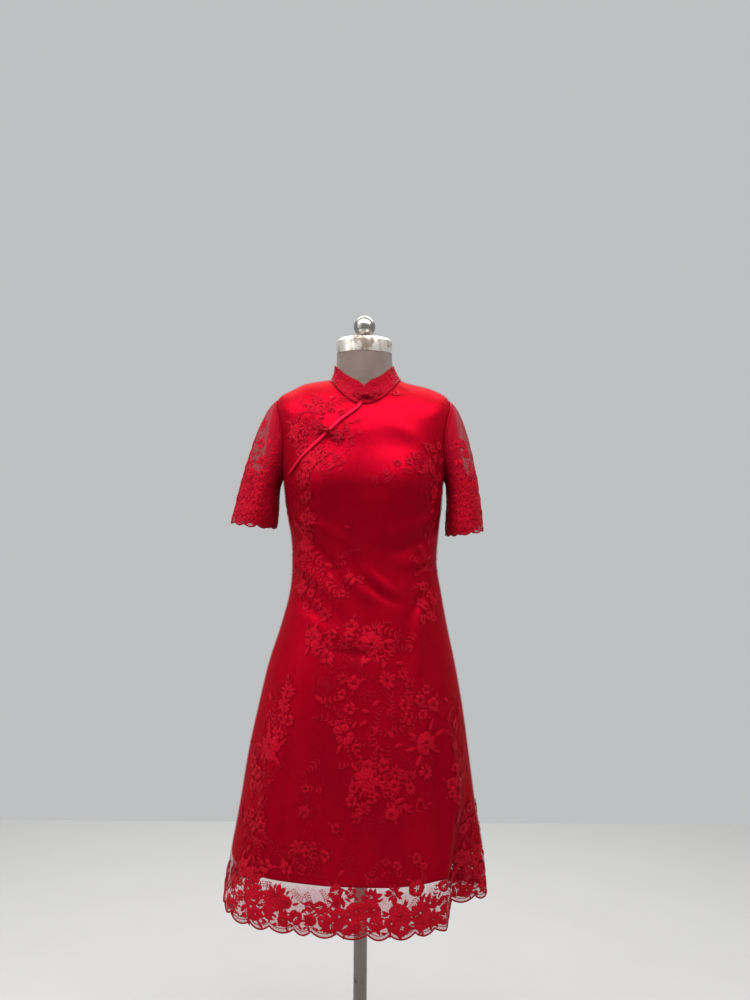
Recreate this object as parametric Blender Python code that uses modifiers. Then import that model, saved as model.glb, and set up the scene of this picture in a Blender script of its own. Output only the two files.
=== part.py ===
"""Cheongsam dress worn by a limbless dress form on a pole stand.

Metres, +Z up, the front faces -Y and +X is the viewer's right. The origin is the middle of
the underside of the stand's base plate. Left and right are the viewer's.
"""

import math
from enum import Enum
from typing import NamedTuple

import bmesh
import bpy
import numpy as np
from mathutils import Vector

# ---------------------------------------------------------------- driving sizes
CLOTH_WALL = 0.0010        # lace and lining walls
LAYER_GAP = 0.0013         # lining to lace
SEAM_GAP = 0.0004          # between pieces that are sewn together
COLLAR_WALL = 0.0015
PIPING_WIDTH = 0.0075
PIPING_WALL = 0.0012
FROG_WALL = 0.0022
FROG_LIFT = 0.0006         # frog to the cloth under it
FROG_COLLAR_RADIUS = 0.0090
FROG_CHEST_RADIUS = 0.0110
FROG_CHEST_PLACE = (-0.0635, 1.2925)  # its middle, as x and height
FROG_KNOT_RADIUS = 0.0052

LINING_HEM_HEIGHT = 0.497
LINING_SIDE_RISE = 0.024   # how much higher a hem is at the side seams than in the middle
LACE_SIDE_RISE = 0.014
ARMHOLE_BOTTOM_HEIGHT = 1.205
ARMHOLE_TOP_HEIGHT = 1.357
ARMHOLE_HALF_WIDTH = 0.115  # share of the half ring from the side seam

SCALLOP_DEPTH = 0.010
CUFF_SCALLOP_DEPTH = 0.007
SLEEVE_LIFT = 0.0011       # sleeve head to armhole edge
COLLAR_LIFT = 0.0008       # collar foot to neckline
YOKE_ROW = 0.0080          # first grid row above the armhole bottom
SLANT_GAP = 0.0006         # between the two fronts
PIPING_LIFT = 0.0010       # piping to lace
PIPING_START = 0.0120      # level of its lower end above the armhole bottom
PIPING_END = 0.0240        # level of its upper end below the neckline

FORM_BOTTOM_HEIGHT = 0.745
FORM_NECK_RADIUS = 0.0520
FORM_NECK_TOP = 1.4452
NECK_FLARE_HEIGHT = 0.014  # how soon the neck turns upright
CAP_BOTTOM = 1.4455
CAP_TOP = 1.4740
CAP_RADIUS = 0.0525
CAP_CHAMFER = 0.0055
KNOB_RADIUS = 0.0205
KNOB_CENTRE = 1.4980
KNOB_STEM_RADIUS = 0.0095

POLE_RADIUS = 0.0128
FLANGE_RADIUS = 0.045
FLANGE_WALL = 0.004
BASE_RADIUS = 0.175
BASE_WALL = 0.008
SOCKET_RADIUS = 0.021
SOCKET_HEIGHT = 0.035
PART_GAP = 0.0003          # between hard pieces that touch

PANEL_COLUMNS = 22
HEM_ROW = 0.032            # level of the first grid row above the lace hem
SKIRT_ROWS = 9
ARMHOLE_ROWS = 9
SHOULDER_ROWS = 4
HEM_CUTS = 3               # extra points along each hem edge
SLEEVE_COLUMNS = 24
CUFF_CUTS = 1
RING_SAMPLES = 361
TABLE_COLUMNS = 161
TABLE_LEVELS = 281


class Side(Enum):
    """The two halves of the body ring, split at the side and shoulder seams."""

    FRONT = -1.0
    BACK = 1.0


class Section(NamedTuple):
    """One level of the dress: sizes of its ring, in metres."""

    height: float      # at the side seam
    left: float        # half-width to -X
    right: float       # half-width to +X
    front: float       # depth to -Y
    back: float        # depth to +Y
    roundness: float   # 2 is an ellipse, more is squarer
    front_drop: float  # how far the front middle lies below the side
    ease: float        # room between the lining and the form


SECTIONS = (
    Section(0.410, 0.259, 0.240, 0.158, 0.163, 2.20, 0.000, 0.0),
    Section(0.450, 0.256, 0.238, 0.156, 0.161, 2.20, 0.000, 0.0),
    Section(0.500, 0.248, 0.234, 0.153, 0.158, 2.20, 0.000, 0.0),
    Section(0.600, 0.230, 0.217, 0.146, 0.152, 2.20, 0.000, 0.0),
    Section(0.700, 0.214, 0.203, 0.139, 0.146, 2.20, 0.000, 0.020),
    Section(0.790, 0.195, 0.190, 0.131, 0.138, 2.20, 0.000, 0.014),
    Section(0.866, 0.177, 0.176, 0.123, 0.129, 2.20, 0.000, 0.009),
    Section(0.940, 0.1535, 0.160, 0.113, 0.115, 2.20, 0.000, 0.010),
    Section(1.000, 0.1385, 0.149, 0.105, 0.099, 2.20, 0.000, 0.014),
    Section(1.056, 0.1345, 0.1405, 0.101, 0.089, 2.20, 0.000, 0.014),
    Section(1.100, 0.1375, 0.1435, 0.105, 0.086, 2.20, 0.000, 0.010),
    Section(1.150, 0.146, 0.148, 0.1165, 0.090, 2.25, 0.000, 0.005),
    Section(1.200, 0.152, 0.152, 0.1265, 0.096, 2.30, 0.000, 0.0024),
    Section(1.240, 0.156, 0.156, 0.1200, 0.099, 2.35, 0.004, 0.0026),
    Section(1.280, 0.160, 0.160, 0.1085, 0.100, 2.40, 0.010, 0.0018),
    Section(1.320, 0.165, 0.164, 0.099, 0.098, 2.45, 0.020, 0.0012),
    Section(1.345, 0.1675, 0.166, 0.091, 0.094, 2.45, 0.028, 0.0020),
    Section(1.3595, 0.163, 0.161, 0.0865, 0.090, 2.35, 0.034, 0.0024),
    Section(1.3785, 0.134, 0.133, 0.0805, 0.080, 2.20, 0.042, 0.0012),
    Section(1.3925, 0.098, 0.081, 0.0755, 0.068, 2.10, 0.0485, 0.001),
    Section(1.3980, 0.061, 0.068, 0.0725, 0.062, 2.05, 0.052, 0.001),
)


class Fold(NamedTuple):
    """A soft vertical wave of the skirt, deepest at the hem."""

    side: Side
    centre: float  # share of the half ring's angle, from the left seam
    width: float
    rise: float    # outward at the hem, in metres
    top: float     # height where it fades out


FOLDS = (
    Fold(Side.FRONT, 0.20, 0.080, 0.006, 0.80),
    Fold(Side.FRONT, 0.37, 0.060, -0.005, 0.74),
    Fold(Side.FRONT, 0.57, 0.055, 0.006, 0.72),
    Fold(Side.FRONT, 0.70, 0.050, -0.004, 0.70),
    Fold(Side.BACK, 0.24, 0.060, -0.012, 0.86),
    Fold(Side.BACK, 0.41, 0.060, 0.009, 0.80),
    Fold(Side.BACK, 0.60, 0.070, -0.013, 0.84),
    Fold(Side.BACK, 0.78, 0.055, 0.008, 0.78),
)

# The deep fold in front of the right side seam: the skirt steps back and flares out as a wing.
WING_TOP = 0.785
WING_START_AT_HEM = 0.152
WING_START_AT_TOP = 0.186
WING_STEP = 0.020
WING_PINCH = {Side.FRONT: 0.80, Side.BACK: 0.55}

BUST_RISE = 0.011
BUST_OFFSET = 0.074
BUST_HEIGHT = 1.208
BUST_SPREAD = 0.046
BUST_TALL = 0.046

# Slanted front edge, as x and height on the front, from the neckline down to the armhole.
SLANT_POINTS = (
    (-0.002, 1.346),
    (-0.006, 1.3426),
    (-0.010, 1.3392),
    (-0.016, 1.3342),
    (-0.022, 1.3291),
    (-0.028, 1.324),
    (-0.054, 1.301),
    (-0.073, 1.283),
    (-0.099, 1.258),
    (-0.122, 1.232),
    (-0.132, 1.216),
)

# Widths of the hem scallops, counted in hem points, round half the hem.
HEM_LOBES = (6, 5, 7, 5, 6, 4, 6, 7, 5, 6, 5, 7, 5, 4, 6, 4)
CUFF_LOBES = (5, 4, 5, 6, 4, 5, 5, 4, 5, 5)


def blend(edge_low, edge_high, value):
    """Smooth step of value from 0 at edge_low to 1 at edge_high."""
    share = np.clip((value - edge_low) / (edge_high - edge_low), 0.0, 1.0)
    return share * share * (3.0 - 2.0 * share)


class SectionCurve:
    """Smooth columns of the section table, by level: metres along the side from the hem."""

    def __init__(self, sections):
        self.rows = np.array(sections)
        middle = 0.5 * (self.rows[:, 1] + self.rows[:, 2])
        steps = np.hypot(np.diff(self.rows[:, 0]), np.diff(middle))
        self.knots = np.concatenate([[0.0], np.cumsum(steps)])
        self.slopes = np.gradient(self.rows, self.knots, axis=0)

    @property
    def top(self):
        """Level of the neckline."""
        return self.knots[-1]

    def at(self, level):
        """The Section at a level."""
        index = int(np.clip(np.searchsorted(self.knots, level) - 1, 0, len(self.knots) - 2))
        span = self.knots[index + 1] - self.knots[index]
        t = (level - self.knots[index]) / span
        first = (2 * t**3 - 3 * t**2 + 1) * self.rows[index]
        last = (3 * t**2 - 2 * t**3) * self.rows[index + 1]
        leave = (t**3 - 2 * t**2 + t) * span * self.slopes[index]
        arrive = (t**3 - t**2) * span * self.slopes[index + 1]
        return Section(*(first + last + leave + arrive))

    def level_of(self, height):
        """Level where the side seam reaches a height."""
        return float(np.interp(height, self.rows[:, 0], self.knots))


class BodySurface:
    """The dress's outer surface: points and normals by share round each half and by level."""

    def __init__(self, curve, has_folds=True):
        self.curve = curve
        self.has_folds = has_folds
        self.levels = np.linspace(0.0, curve.top, TABLE_LEVELS)
        self.points = {side: self._table(side) for side in Side}
        self.normals = {side: self._normal_table(side) for side in Side}
        self._share_seam_normals()
        self.lengths = {side: self._length_table(side) for side in Side}

    def _ring(self, side, level):
        """Dense half ring at a level, from the left seam to the right seam."""
        section = self.curve.at(level)
        angle = np.linspace(0.0, math.pi, RING_SAMPLES)
        power = 2.0 / section.roundness
        across = -np.cos(angle)
        out = np.sin(angle)
        half_width = np.where(across < 0.0, section.left, section.right)
        x = np.sign(across) * np.abs(across) ** power * half_width
        depth = section.front if side is Side.FRONT else section.back
        y = side.value * depth * out ** power
        z = np.full_like(x, section.height)
        if side is Side.FRONT:
            z -= section.front_drop * out ** 2
            y -= self._bust(x, z)
        if self.has_folds:
            x, y = self._fold(side, angle / math.pi, x, y, section)
        return np.column_stack([x, y, z])

    @staticmethod
    def _bust(x, z):
        """Forward rise of the two bust cups."""
        rise = np.exp(-((np.abs(x) - BUST_OFFSET) / BUST_SPREAD) ** 2)
        return BUST_RISE * rise * np.exp(-((z - BUST_HEIGHT) / BUST_TALL) ** 2)

    @staticmethod
    def _fold(side, share, x, y, section):
        """Skirt waves and the wing at the right side seam."""
        hem = SECTIONS[0].height
        depth = section.front if side is Side.FRONT else section.back
        width = 0.5 * (section.left + section.right)
        lean = np.hypot(x / width**2, y / depth**2)
        for fold in FOLDS:
            if fold.side is side and section.height < fold.top:
                ramp = ((fold.top - section.height) / (fold.top - hem)) ** 1.3
                wave = fold.rise * ramp * np.exp(-((share - fold.centre) / fold.width) ** 2)
                x = x + wave * (x / width**2) / lean
                y = y + wave * (y / depth**2) / lean
        if section.height < WING_TOP:
            ramp = blend(0.0, 1.0, (WING_TOP - section.height) / (WING_TOP - hem))
            start = WING_START_AT_TOP + (WING_START_AT_HEM - WING_START_AT_TOP) * ramp
            step = blend(start, start + WING_STEP, x)
            y = y * (1.0 - WING_PINCH[side] * ramp * step)
        return x, y

    def _table(self, side):
        """Points of one half, even in arc length along each ring."""
        shares = np.linspace(0.0, 1.0, TABLE_COLUMNS)
        rows = []
        for level in self.levels:
            ring = self._ring(side, level)
            arc = np.concatenate([[0.0], np.cumsum(np.linalg.norm(np.diff(ring, axis=0), axis=1))])
            arc /= arc[-1]
            rows.append(np.column_stack([np.interp(shares, arc, ring[:, axis]) for axis in range(3)]))
        return np.array(rows)

    def _normal_table(self, side):
        """Outward unit normals of one half."""
        points = self.points[side]
        along = np.gradient(points, axis=1)
        up = np.gradient(points, axis=0)
        normal = np.cross(along, up) if side is Side.FRONT else np.cross(up, along)
        return normal / np.linalg.norm(normal, axis=2, keepdims=True)

    def _share_seam_normals(self):
        """Gives both halves the same normals where they meet."""
        for column in (0, -1):
            middle = self.normals[Side.FRONT][:, column] + self.normals[Side.BACK][:, column]
            middle /= np.linalg.norm(middle, axis=1, keepdims=True)
            self.normals[Side.FRONT][:, column] = middle
            self.normals[Side.BACK][:, column] = middle

    def _length_table(self, side):
        """Length of each half ring."""
        return np.linalg.norm(np.diff(self.points[side], axis=1), axis=2).sum(axis=1)

    def length(self, side, level):
        """Length of the half ring at a level."""
        return float(np.interp(level, self.levels, self.lengths[side]))

    def place(self, side, share, level, inset):
        """Point at a share round and a level, moved in from the surface by inset.

        Args:
            side: which half.
            share: 0 at the left seam, 1 at the right seam.
            level: metres up the side from the hem.
            inset: metres inside the outer surface.

        Returns:
            The point as an array of 3.
        """
        column = np.clip(share, 0.0, 1.0) * (TABLE_COLUMNS - 1)
        row = np.clip(level / self.curve.top, 0.0, 1.0) * (TABLE_LEVELS - 1)
        left = min(int(column), TABLE_COLUMNS - 2)
        low = min(int(row), TABLE_LEVELS - 2)
        across = column - left
        up = row - low
        mixed = []
        for table in (self.points[side], self.normals[side]):
            bottom = table[low, left] * (1 - across) + table[low, left + 1] * across
            top = table[low + 1, left] * (1 - across) + table[low + 1, left + 1] * across
            mixed.append(bottom * (1 - up) + top * up)
        normal = mixed[1] / np.linalg.norm(mixed[1])
        return mixed[0] - normal * inset

    def rates(self, side, share, level):
        """Change of a point per share round and per metre of level, as two vectors."""
        share = min(max(share, 0.004), 0.996)
        level = min(max(level, 0.002), self.curve.top - 0.002)
        across = self.place(side, share + 0.004, level, 0.0) - self.place(side, share - 0.004, level, 0.0)
        up = self.place(side, share, level + 0.002, 0.0) - self.place(side, share, level - 0.002, 0.0)
        return across / 0.008, up / 0.004

    def find(self, x, z):
        """Share and level of the front point nearest to an x and a height."""
        points = self.points[Side.FRONT]
        gap = (points[:, :, 0] - x) ** 2 + (points[:, :, 2] - z) ** 2
        row, column = np.unravel_index(int(np.argmin(gap)), gap.shape)
        share, level = column / (TABLE_COLUMNS - 1), self.levels[row]
        share_step, level_step = 1.0 / TABLE_COLUMNS, self.curve.top / TABLE_LEVELS
        for _ in range(3):
            tries = [
                (share + share_step * across / 4.0, min(level + level_step * up / 4.0, self.curve.top))
                for across in range(-4, 5) for up in range(-4, 5)
            ]
            misses = [self._miss(try_share, try_level, x, z) for try_share, try_level in tries]
            share, level = tries[int(np.argmin(misses))]
            share_step *= 0.3
            level_step *= 0.3
        return share, level

    def _miss(self, share, level, x, z):
        """Distance of a front point from an x and a height, seen from the front."""
        point = self.place(Side.FRONT, share, level, 0.0)
        return math.hypot(point[0] - x, point[2] - z)


# ---------------------------------------------------------------- scene helpers
def clear_scene():
    """Removes every object of the file."""
    for item in list(bpy.data.objects):
        bpy.data.objects.remove(item, do_unlink=True)


def make_material(name, colour, roughness, metallic=0.0):
    """A Principled material with the given finish."""
    material = bpy.data.materials.new(name)
    material.use_nodes = True
    shader = material.node_tree.nodes["Principled BSDF"]
    shader.inputs["Base Color"].default_value = (*colour, 1.0)
    shader.inputs["Roughness"].default_value = roughness
    shader.inputs["Metallic"].default_value = metallic
    return material


def add_object(name, mesh, material, collection):
    """Links a mesh to the part as a named object."""
    item = bpy.data.objects.new(name, mesh)
    item.data.materials.append(material)
    collection.objects.link(item)
    return item


def solidify(item, thickness, outward):
    """Gives an open surface its wall."""
    wall = item.modifiers.new("wall", "SOLIDIFY")
    wall.thickness = thickness
    wall.offset = 1.0 if outward else -1.0
    wall.use_rim = True


def grid_mesh(name, columns, rows, place, hem_cuts=0, closed=False):
    """A grid mapped onto a surface.

    Args:
        name: name of the mesh.
        columns: faces across.
        rows: faces up.
        place: function of the shares across and up (0 to 1), which returns a point.
        hem_cuts: extra points on each edge of the bottom row.
        closed: joins the left and right edges into a tube.

    Returns:
        The mesh, faced outward when place runs left to right and bottom to top seen from outside.
    """
    mesh = bpy.data.meshes.new(name)
    grid = bmesh.new()
    bmesh.ops.create_grid(grid, x_segments=columns, y_segments=rows, size=1.0)
    if hem_cuts:
        bottom = [edge for edge in grid.edges if all(vert.co.y < -0.9999 for vert in edge.verts)]
        bmesh.ops.subdivide_edges(grid, edges=bottom, cuts=hem_cuts)
    for vert in grid.verts:
        vert.co = Vector(place(0.5 + 0.5 * vert.co.x, 0.5 + 0.5 * vert.co.y))
    if closed:
        bmesh.ops.remove_doubles(grid, verts=grid.verts, dist=0.00001)
    grid.to_mesh(mesh)
    grid.free()
    mesh.shade_smooth()
    mesh.set_sharp_from_angle(angle=math.radians(40))
    return mesh


def turned(name, profile, material, collection, steps=32):
    """A turned solid from a profile of (radius, height) points, top first and down the outside."""
    mesh = bpy.data.meshes.new(name)
    outline = bmesh.new()
    verts = [outline.verts.new((radius, 0.0, height)) for radius, height in profile]
    for upper, lower in zip(verts, verts[1:]):
        outline.edges.new((upper, lower))
    outline.to_mesh(mesh)
    outline.free()
    item = add_object(name, mesh, material, collection)
    screw = item.modifiers.new("turn", "SCREW")
    screw.steps = steps
    screw.render_steps = steps
    screw.use_merge_vertices = True
    screw.merge_threshold = 0.00001
    screw.use_smooth_shade = True
    return item


# ---------------------------------------------------------------- dress cut
class DressCut:
    """Edges of the pieces on the body surface."""

    def __init__(self, surface):
        self.surface = surface
        curve = surface.curve
        self.top = curve.top
        self.armhole_low = curve.level_of(ARMHOLE_BOTTOM_HEIGHT)
        self.armhole_high = curve.level_of(ARMHOLE_TOP_HEIGHT)
        self.lining_hem = curve.level_of(LINING_HEM_HEIGHT)
        found = [surface.find(x, z) for x, z in SLANT_POINTS]
        found.append((0.0, self.armhole_low))
        found.sort(key=lambda pair: pair[1])
        self.slant_shares = [share for share, _ in found]
        self.slant_levels = [level for _, level in found]

    def armhole(self, level):
        """Share where the armhole edge lies at a level, 0 where there is none."""
        middle = 0.5 * (self.armhole_low + self.armhole_high)
        half = 0.5 * (self.armhole_high - self.armhole_low)
        offset = (level - middle) / half
        return ARMHOLE_HALF_WIDTH * math.sqrt(max(0.0, 1.0 - offset * offset))

    def slant(self, level):
        """Share of the slanted edge at a level."""
        return float(np.interp(level, self.slant_levels, self.slant_shares))

    def slant_direction(self, level):
        """Run along the ring and rise across it of the slanted edge about a level, in metres."""
        ahead = min(level + 0.004, self.top)
        behind = max(level - 0.004, self.armhole_low)
        share = self.slant(level)
        around, up = self.surface.rates(Side.FRONT, share, level)
        step = around * (self.slant(ahead) - self.slant(behind)) + up * (ahead - behind)
        around /= np.linalg.norm(around)
        run = float(step.dot(around))
        return run, float(np.linalg.norm(step - run * around))

    def levels(self, first):
        """Grid levels from the first one up to the neckline."""
        skirt = list(np.linspace(self.lining_hem, self.armhole_low, SKIRT_ROWS + 1)[1:-1])
        middle = 0.5 * (self.armhole_low + self.armhole_high)
        half = 0.5 * (self.armhole_high - self.armhole_low)
        turns = [math.pi * step / ARMHOLE_ROWS for step in range(ARMHOLE_ROWS + 1)]
        armhole = [middle - half * math.cos(turn) for turn in turns]
        armhole[1] = self.armhole_low + YOKE_ROW
        shoulder = list(np.linspace(self.armhole_high, self.top, SHOULDER_ROWS + 1)[1:])
        low = [0.0, HEM_ROW, self.lining_hem]
        return [level for level in low + skirt + armhole + shoulder if level >= first - 1e-6]


def scallop(share, lobes, depth):
    """Height of a scalloped edge above its lowest line.

    Args:
        share: place along the edge, 0 to 1.
        lobes: widths of the lobes, counted in edge points.
        depth: height of the cusps.

    Returns:
        0 at the foot of a lobe and depth at a cusp.
    """
    point = share * sum(lobes)
    for lobe in lobes:
        if point <= lobe + 1e-6:
            bow = math.sin(math.pi * min(1.0, max(0.0, point / lobe)))
            return depth * (1.0 - bow ** 0.7)
        point -= lobe
    return depth


class Keep(Enum):
    """Which side of the slanted edge a front piece keeps, as its step from the edge."""

    ALL = 0.0
    MAIN = 1.0
    YOKE = -1.0


def flat_panel(cut, side, levels, keep):
    """A panel as cut flat: x is the share round its half and y is the level.

    Args:
        cut: the DressCut.
        side: front or back half.
        levels: grid levels, bottom first. A piece that starts at 0 has the lace's scalloped hem.
        keep: the part kept of a front that is cut along the slanted edge.

    Returns:
        The flat piece as a bmesh.
    """
    rows = len(levels) - 1
    grid = bmesh.new()
    bmesh.ops.create_grid(grid, x_segments=PANEL_COLUMNS, y_segments=rows, size=1.0)
    if levels[0] == 0.0:
        hem = [edge for edge in grid.edges if all(vert.co.y < -0.9999 for vert in edge.verts)]
        bmesh.ops.subdivide_edges(grid, edges=hem, cuts=HEM_CUTS)
    for vert in grid.verts:
        across = 0.5 + 0.5 * vert.co.x
        level = levels[int(round((0.5 + 0.5 * vert.co.y) * rows))]
        edge = cut.armhole(level) + 0.5 * SEAM_GAP / cut.surface.length(side, level)
        share = edge + (1.0 - 2.0 * edge) * across
        nearness = (1.0 - math.sin(math.pi * across)) ** 2
        if level == cut.lining_hem:
            level += LINING_SIDE_RISE * nearness
        elif level == 0.0:
            level += LACE_SIDE_RISE * nearness + scallop(across, HEM_LOBES, SCALLOP_DEPTH)
        vert.co = (share, level, 0.0)
    if keep is not Keep.ALL:
        cut_slant(grid, cut, levels, keep)
    return grid


def cut_slant(grid, cut, levels, keep):
    """Cuts a flat front along the slanted edge, band by band, and drops the other part."""
    def edge_at(level):
        run, rise = cut.slant_direction(level)
        step = keep.value * 0.5 * SLANT_GAP * math.hypot(run, rise) / rise
        return Vector((cut.slant(level) + step / cut.surface.length(Side.FRONT, level), level, 0.0))

    for low, high in zip(levels, levels[1:]):
        if low < cut.armhole_low - 1e-6:
            continue
        start = edge_at(low)
        along = edge_at(high) - start
        inward = Vector((along.y, -along.x, 0.0)) * keep.value
        band = [face for face in grid.faces if low < face.calc_center_median().y < high]
        geometry = set(band)
        for face in band:
            geometry.update(face.edges)
            geometry.update(face.verts)
        bmesh.ops.bisect_plane(grid, geom=list(geometry), plane_co=start, plane_no=inward, dist=1e-6)
        dropped = [
            face for face in grid.faces
            if low < face.calc_center_median().y < high
            and (face.calc_center_median() - start).dot(inward) < 0.0
        ]
        bmesh.ops.delete(grid, geom=dropped, context="FACES")
    if keep is Keep.YOKE:
        below = [face for face in grid.faces if face.calc_center_median().y < cut.armhole_low]
        bmesh.ops.delete(grid, geom=below, context="FACES")


def build_panel(name, cut, side, levels, inset, material, collection, keep=Keep.ALL):
    """A panel of cloth on the body.

    Args:
        name: name of the node.
        cut: the DressCut.
        side: front or back half.
        levels: grid levels, bottom first.
        inset: metres from the outer surface to the panel's inner face.
        material: its material.
        collection: where it is linked.
        keep: the part kept of a front that is cut along the slanted edge.
    """
    mesh = bpy.data.meshes.new(name)
    panel = flat_panel(cut, side, levels, keep)
    for vert in panel.verts:
        vert.co = Vector(cut.surface.place(side, vert.co.x, vert.co.y, inset))
    if side is Side.BACK:
        bmesh.ops.reverse_faces(panel, faces=panel.faces)
    panel.to_mesh(mesh)
    panel.free()
    mesh.shade_smooth()
    solidify(add_object(name, mesh, material, collection), CLOTH_WALL, outward=True)


def build_body_pieces(cut, satin, lace, collection):
    """Lining and lace panels."""
    lining_levels = cut.levels(cut.lining_hem)
    lining_levels[-1] -= 0.002
    lining_inset = 2.0 * CLOTH_WALL + LAYER_GAP
    build_panel("lining_front", cut, Side.FRONT, lining_levels, lining_inset, satin, collection)
    build_panel("lining_back", cut, Side.BACK, lining_levels, lining_inset, satin, collection)

    levels = cut.levels(0.0)
    build_panel("lace_front", cut, Side.FRONT, levels, CLOTH_WALL, lace, collection, Keep.MAIN)
    build_panel("lace_back", cut, Side.BACK, levels, CLOTH_WALL, lace, collection)
    upper = cut.levels(cut.armhole_low)
    build_panel("lace_yoke", cut, Side.FRONT, upper, CLOTH_WALL, lace, collection, Keep.YOKE)


# ---------------------------------------------------------------- sleeves
class Cuff(NamedTuple):
    """Opening of one sleeve, and how its cloth arrives there."""

    name: str
    sign: float         # -1 on the left, +1 on the right
    centre: float       # distance from the middle plane
    half_width: float
    half_depth: float
    height: float
    outer_flare: float  # sideways run of the outer line as it arrives
    inner_flare: float


CUFFS = (
    Cuff("sleeve_left", -1.0, 0.2070, 0.0437, 0.056, 1.1150, 0.045, 0.020),
    Cuff("sleeve_right", 1.0, 0.1910, 0.0362, 0.058, 1.1030, 0.012, 0.004),
)


def sleeve_point(cut, cuff, turn, fall):
    """A point on a sleeve's outer face.

    Args:
        cut: the DressCut.
        cuff: the sleeve's cuff.
        turn: angle round the sleeve, 0 at the shoulder, a quarter turn at the front.
        fall: 0 at the armhole, 1 at the cuff.

    Returns:
        The point as an array of 3.
    """
    middle = 0.5 * (cut.armhole_low + cut.armhole_high)
    half = 0.5 * (cut.armhole_high - cut.armhole_low) - SLEEVE_LIFT
    side = Side.FRONT if math.sin(turn) >= 0.0 else Side.BACK
    level = middle + half * math.cos(turn)
    length = cut.surface.length(side, level)
    share = (ARMHOLE_HALF_WIDTH - SLEEVE_LIFT / length) * abs(math.sin(turn))
    head = cut.surface.place(side, share if cuff.sign < 0.0 else 1.0 - share, level, 0.0)
    top = 0.5 + 0.5 * math.cos(turn)
    end = np.array([
        cuff.sign * (cuff.centre + cuff.half_width * math.cos(turn)),
        -cuff.half_depth * math.sin(turn),
        cuff.height + 0.010 * top,
    ])
    leave = np.array([
        cuff.sign * (0.035 + 0.065 * top),
        -0.030 * math.sin(turn),
        -0.048,
    ])
    flare = cuff.inner_flare + (cuff.outer_flare - cuff.inner_flare) * top
    arrive = np.array([cuff.sign * flare, 0.0, -(0.09 + 0.11 * top)])
    t = fall
    return (
        (2 * t**3 - 3 * t**2 + 1) * head
        + (t**3 - 2 * t**2 + t) * leave
        + (3 * t**2 - 2 * t**3) * end
        + (t**3 - t**2) * arrive
    )


def build_sleeves(cut, lace, collection):
    """Both sleeves, each one tube with its seam under the arm."""
    for cuff in CUFFS:
        def place(across, up, cuff=cuff):
            turn = math.pi + 2.0 * math.pi * (across if cuff.sign < 0.0 else 1.0 - across)
            point = sleeve_point(cut, cuff, turn, 1.0 - up)
            if up < 1e-4:
                point[2] += scallop(across, CUFF_LOBES, CUFF_SCALLOP_DEPTH)
            return point

        mesh = grid_mesh(cuff.name, SLEEVE_COLUMNS, 8, place, hem_cuts=CUFF_CUTS, closed=True)
        solidify(add_object(cuff.name, mesh, lace, collection), CLOTH_WALL, outward=False)


# ---------------------------------------------------------------- collar
COLLAR_TOP_SIDE = 1.4225
COLLAR_TOP_FRONT = 1.3880
COLLAR_TOP_BACK = 1.4360
COLLAR_HALF_WIDTH = 0.0560
COLLAR_FRONT_DEPTH = 0.0595
COLLAR_BACK_DEPTH = 0.0550
COLLAR_CORNER = 0.026
COLLAR_V_SHARE = 0.56
COLLAR_OPENING = 0.0006


class Collar:
    """The stand collar's outer face, by share round from the front middle and share up."""

    def __init__(self, surface):
        front = surface.points[Side.FRONT][-1]
        back = surface.points[Side.BACK][-1]
        half = (TABLE_COLUMNS - 1) // 2
        ring = np.vstack([front[half:], back[::-1][1:], front[1:half + 1]])
        arc = np.concatenate([[0.0], np.cumsum(np.linalg.norm(np.diff(ring, axis=0), axis=1))])
        self.ring = ring
        self.length = arc[-1]
        self.shares = arc / arc[-1]

    def base(self, share):
        """Point on the neckline."""
        return np.array([np.interp(share, self.shares, self.ring[:, axis]) for axis in range(3)])

    def point(self, share, up, inset=0.0):
        """Point on the collar, with up 0 at the neckline and 1 at the top line."""
        low = self.base(share) + np.array([0.0, 0.0, COLLAR_LIFT])
        turn = 2.0 * math.pi * share
        frontness = math.cos(turn)
        depth = COLLAR_FRONT_DEPTH if frontness > 0.0 else COLLAR_BACK_DEPTH
        rise = COLLAR_TOP_FRONT if frontness > 0.0 else COLLAR_TOP_BACK
        high = np.array([
            COLLAR_HALF_WIDTH * math.sin(turn),
            -depth * frontness,
            COLLAR_TOP_SIDE + (rise - COLLAR_TOP_SIDE) * frontness ** 2,
        ])
        middle = low + (high - low) * up
        outward = np.array([middle[0], middle[1], 0.0])
        outward /= np.linalg.norm(outward)
        bow = 0.0015 * math.sin(math.pi * up)
        return middle - outward * (inset + bow)

    def top_share(self, share):
        """How far up the cloth reaches: less at the rounded front corners."""
        distance = min(share, 1.0 - share) * self.length
        if distance >= COLLAR_CORNER:
            return 1.0
        run = 1.0 - distance / COLLAR_CORNER
        return COLLAR_V_SHARE + (1.0 - COLLAR_V_SHARE) * math.sqrt(1.0 - run ** 2.4)


def build_collar(collar, lace, collection):
    """The collar band, open at the front middle."""
    margin = COLLAR_OPENING / collar.length

    def place(across, up):
        share = margin + (1.0 - 2.0 * margin) * ease_to_ends(across)
        return collar.point(share, up * collar.top_share(share))

    mesh = grid_mesh("collar", 36, 3, place)
    solidify(add_object("collar", mesh, lace, collection), COLLAR_WALL, outward=False)


def ease_to_ends(share):
    """Moves evenly spaced shares closer together near 0 and 1."""
    return share - 0.06 * math.sin(2.0 * math.pi * share)


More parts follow.
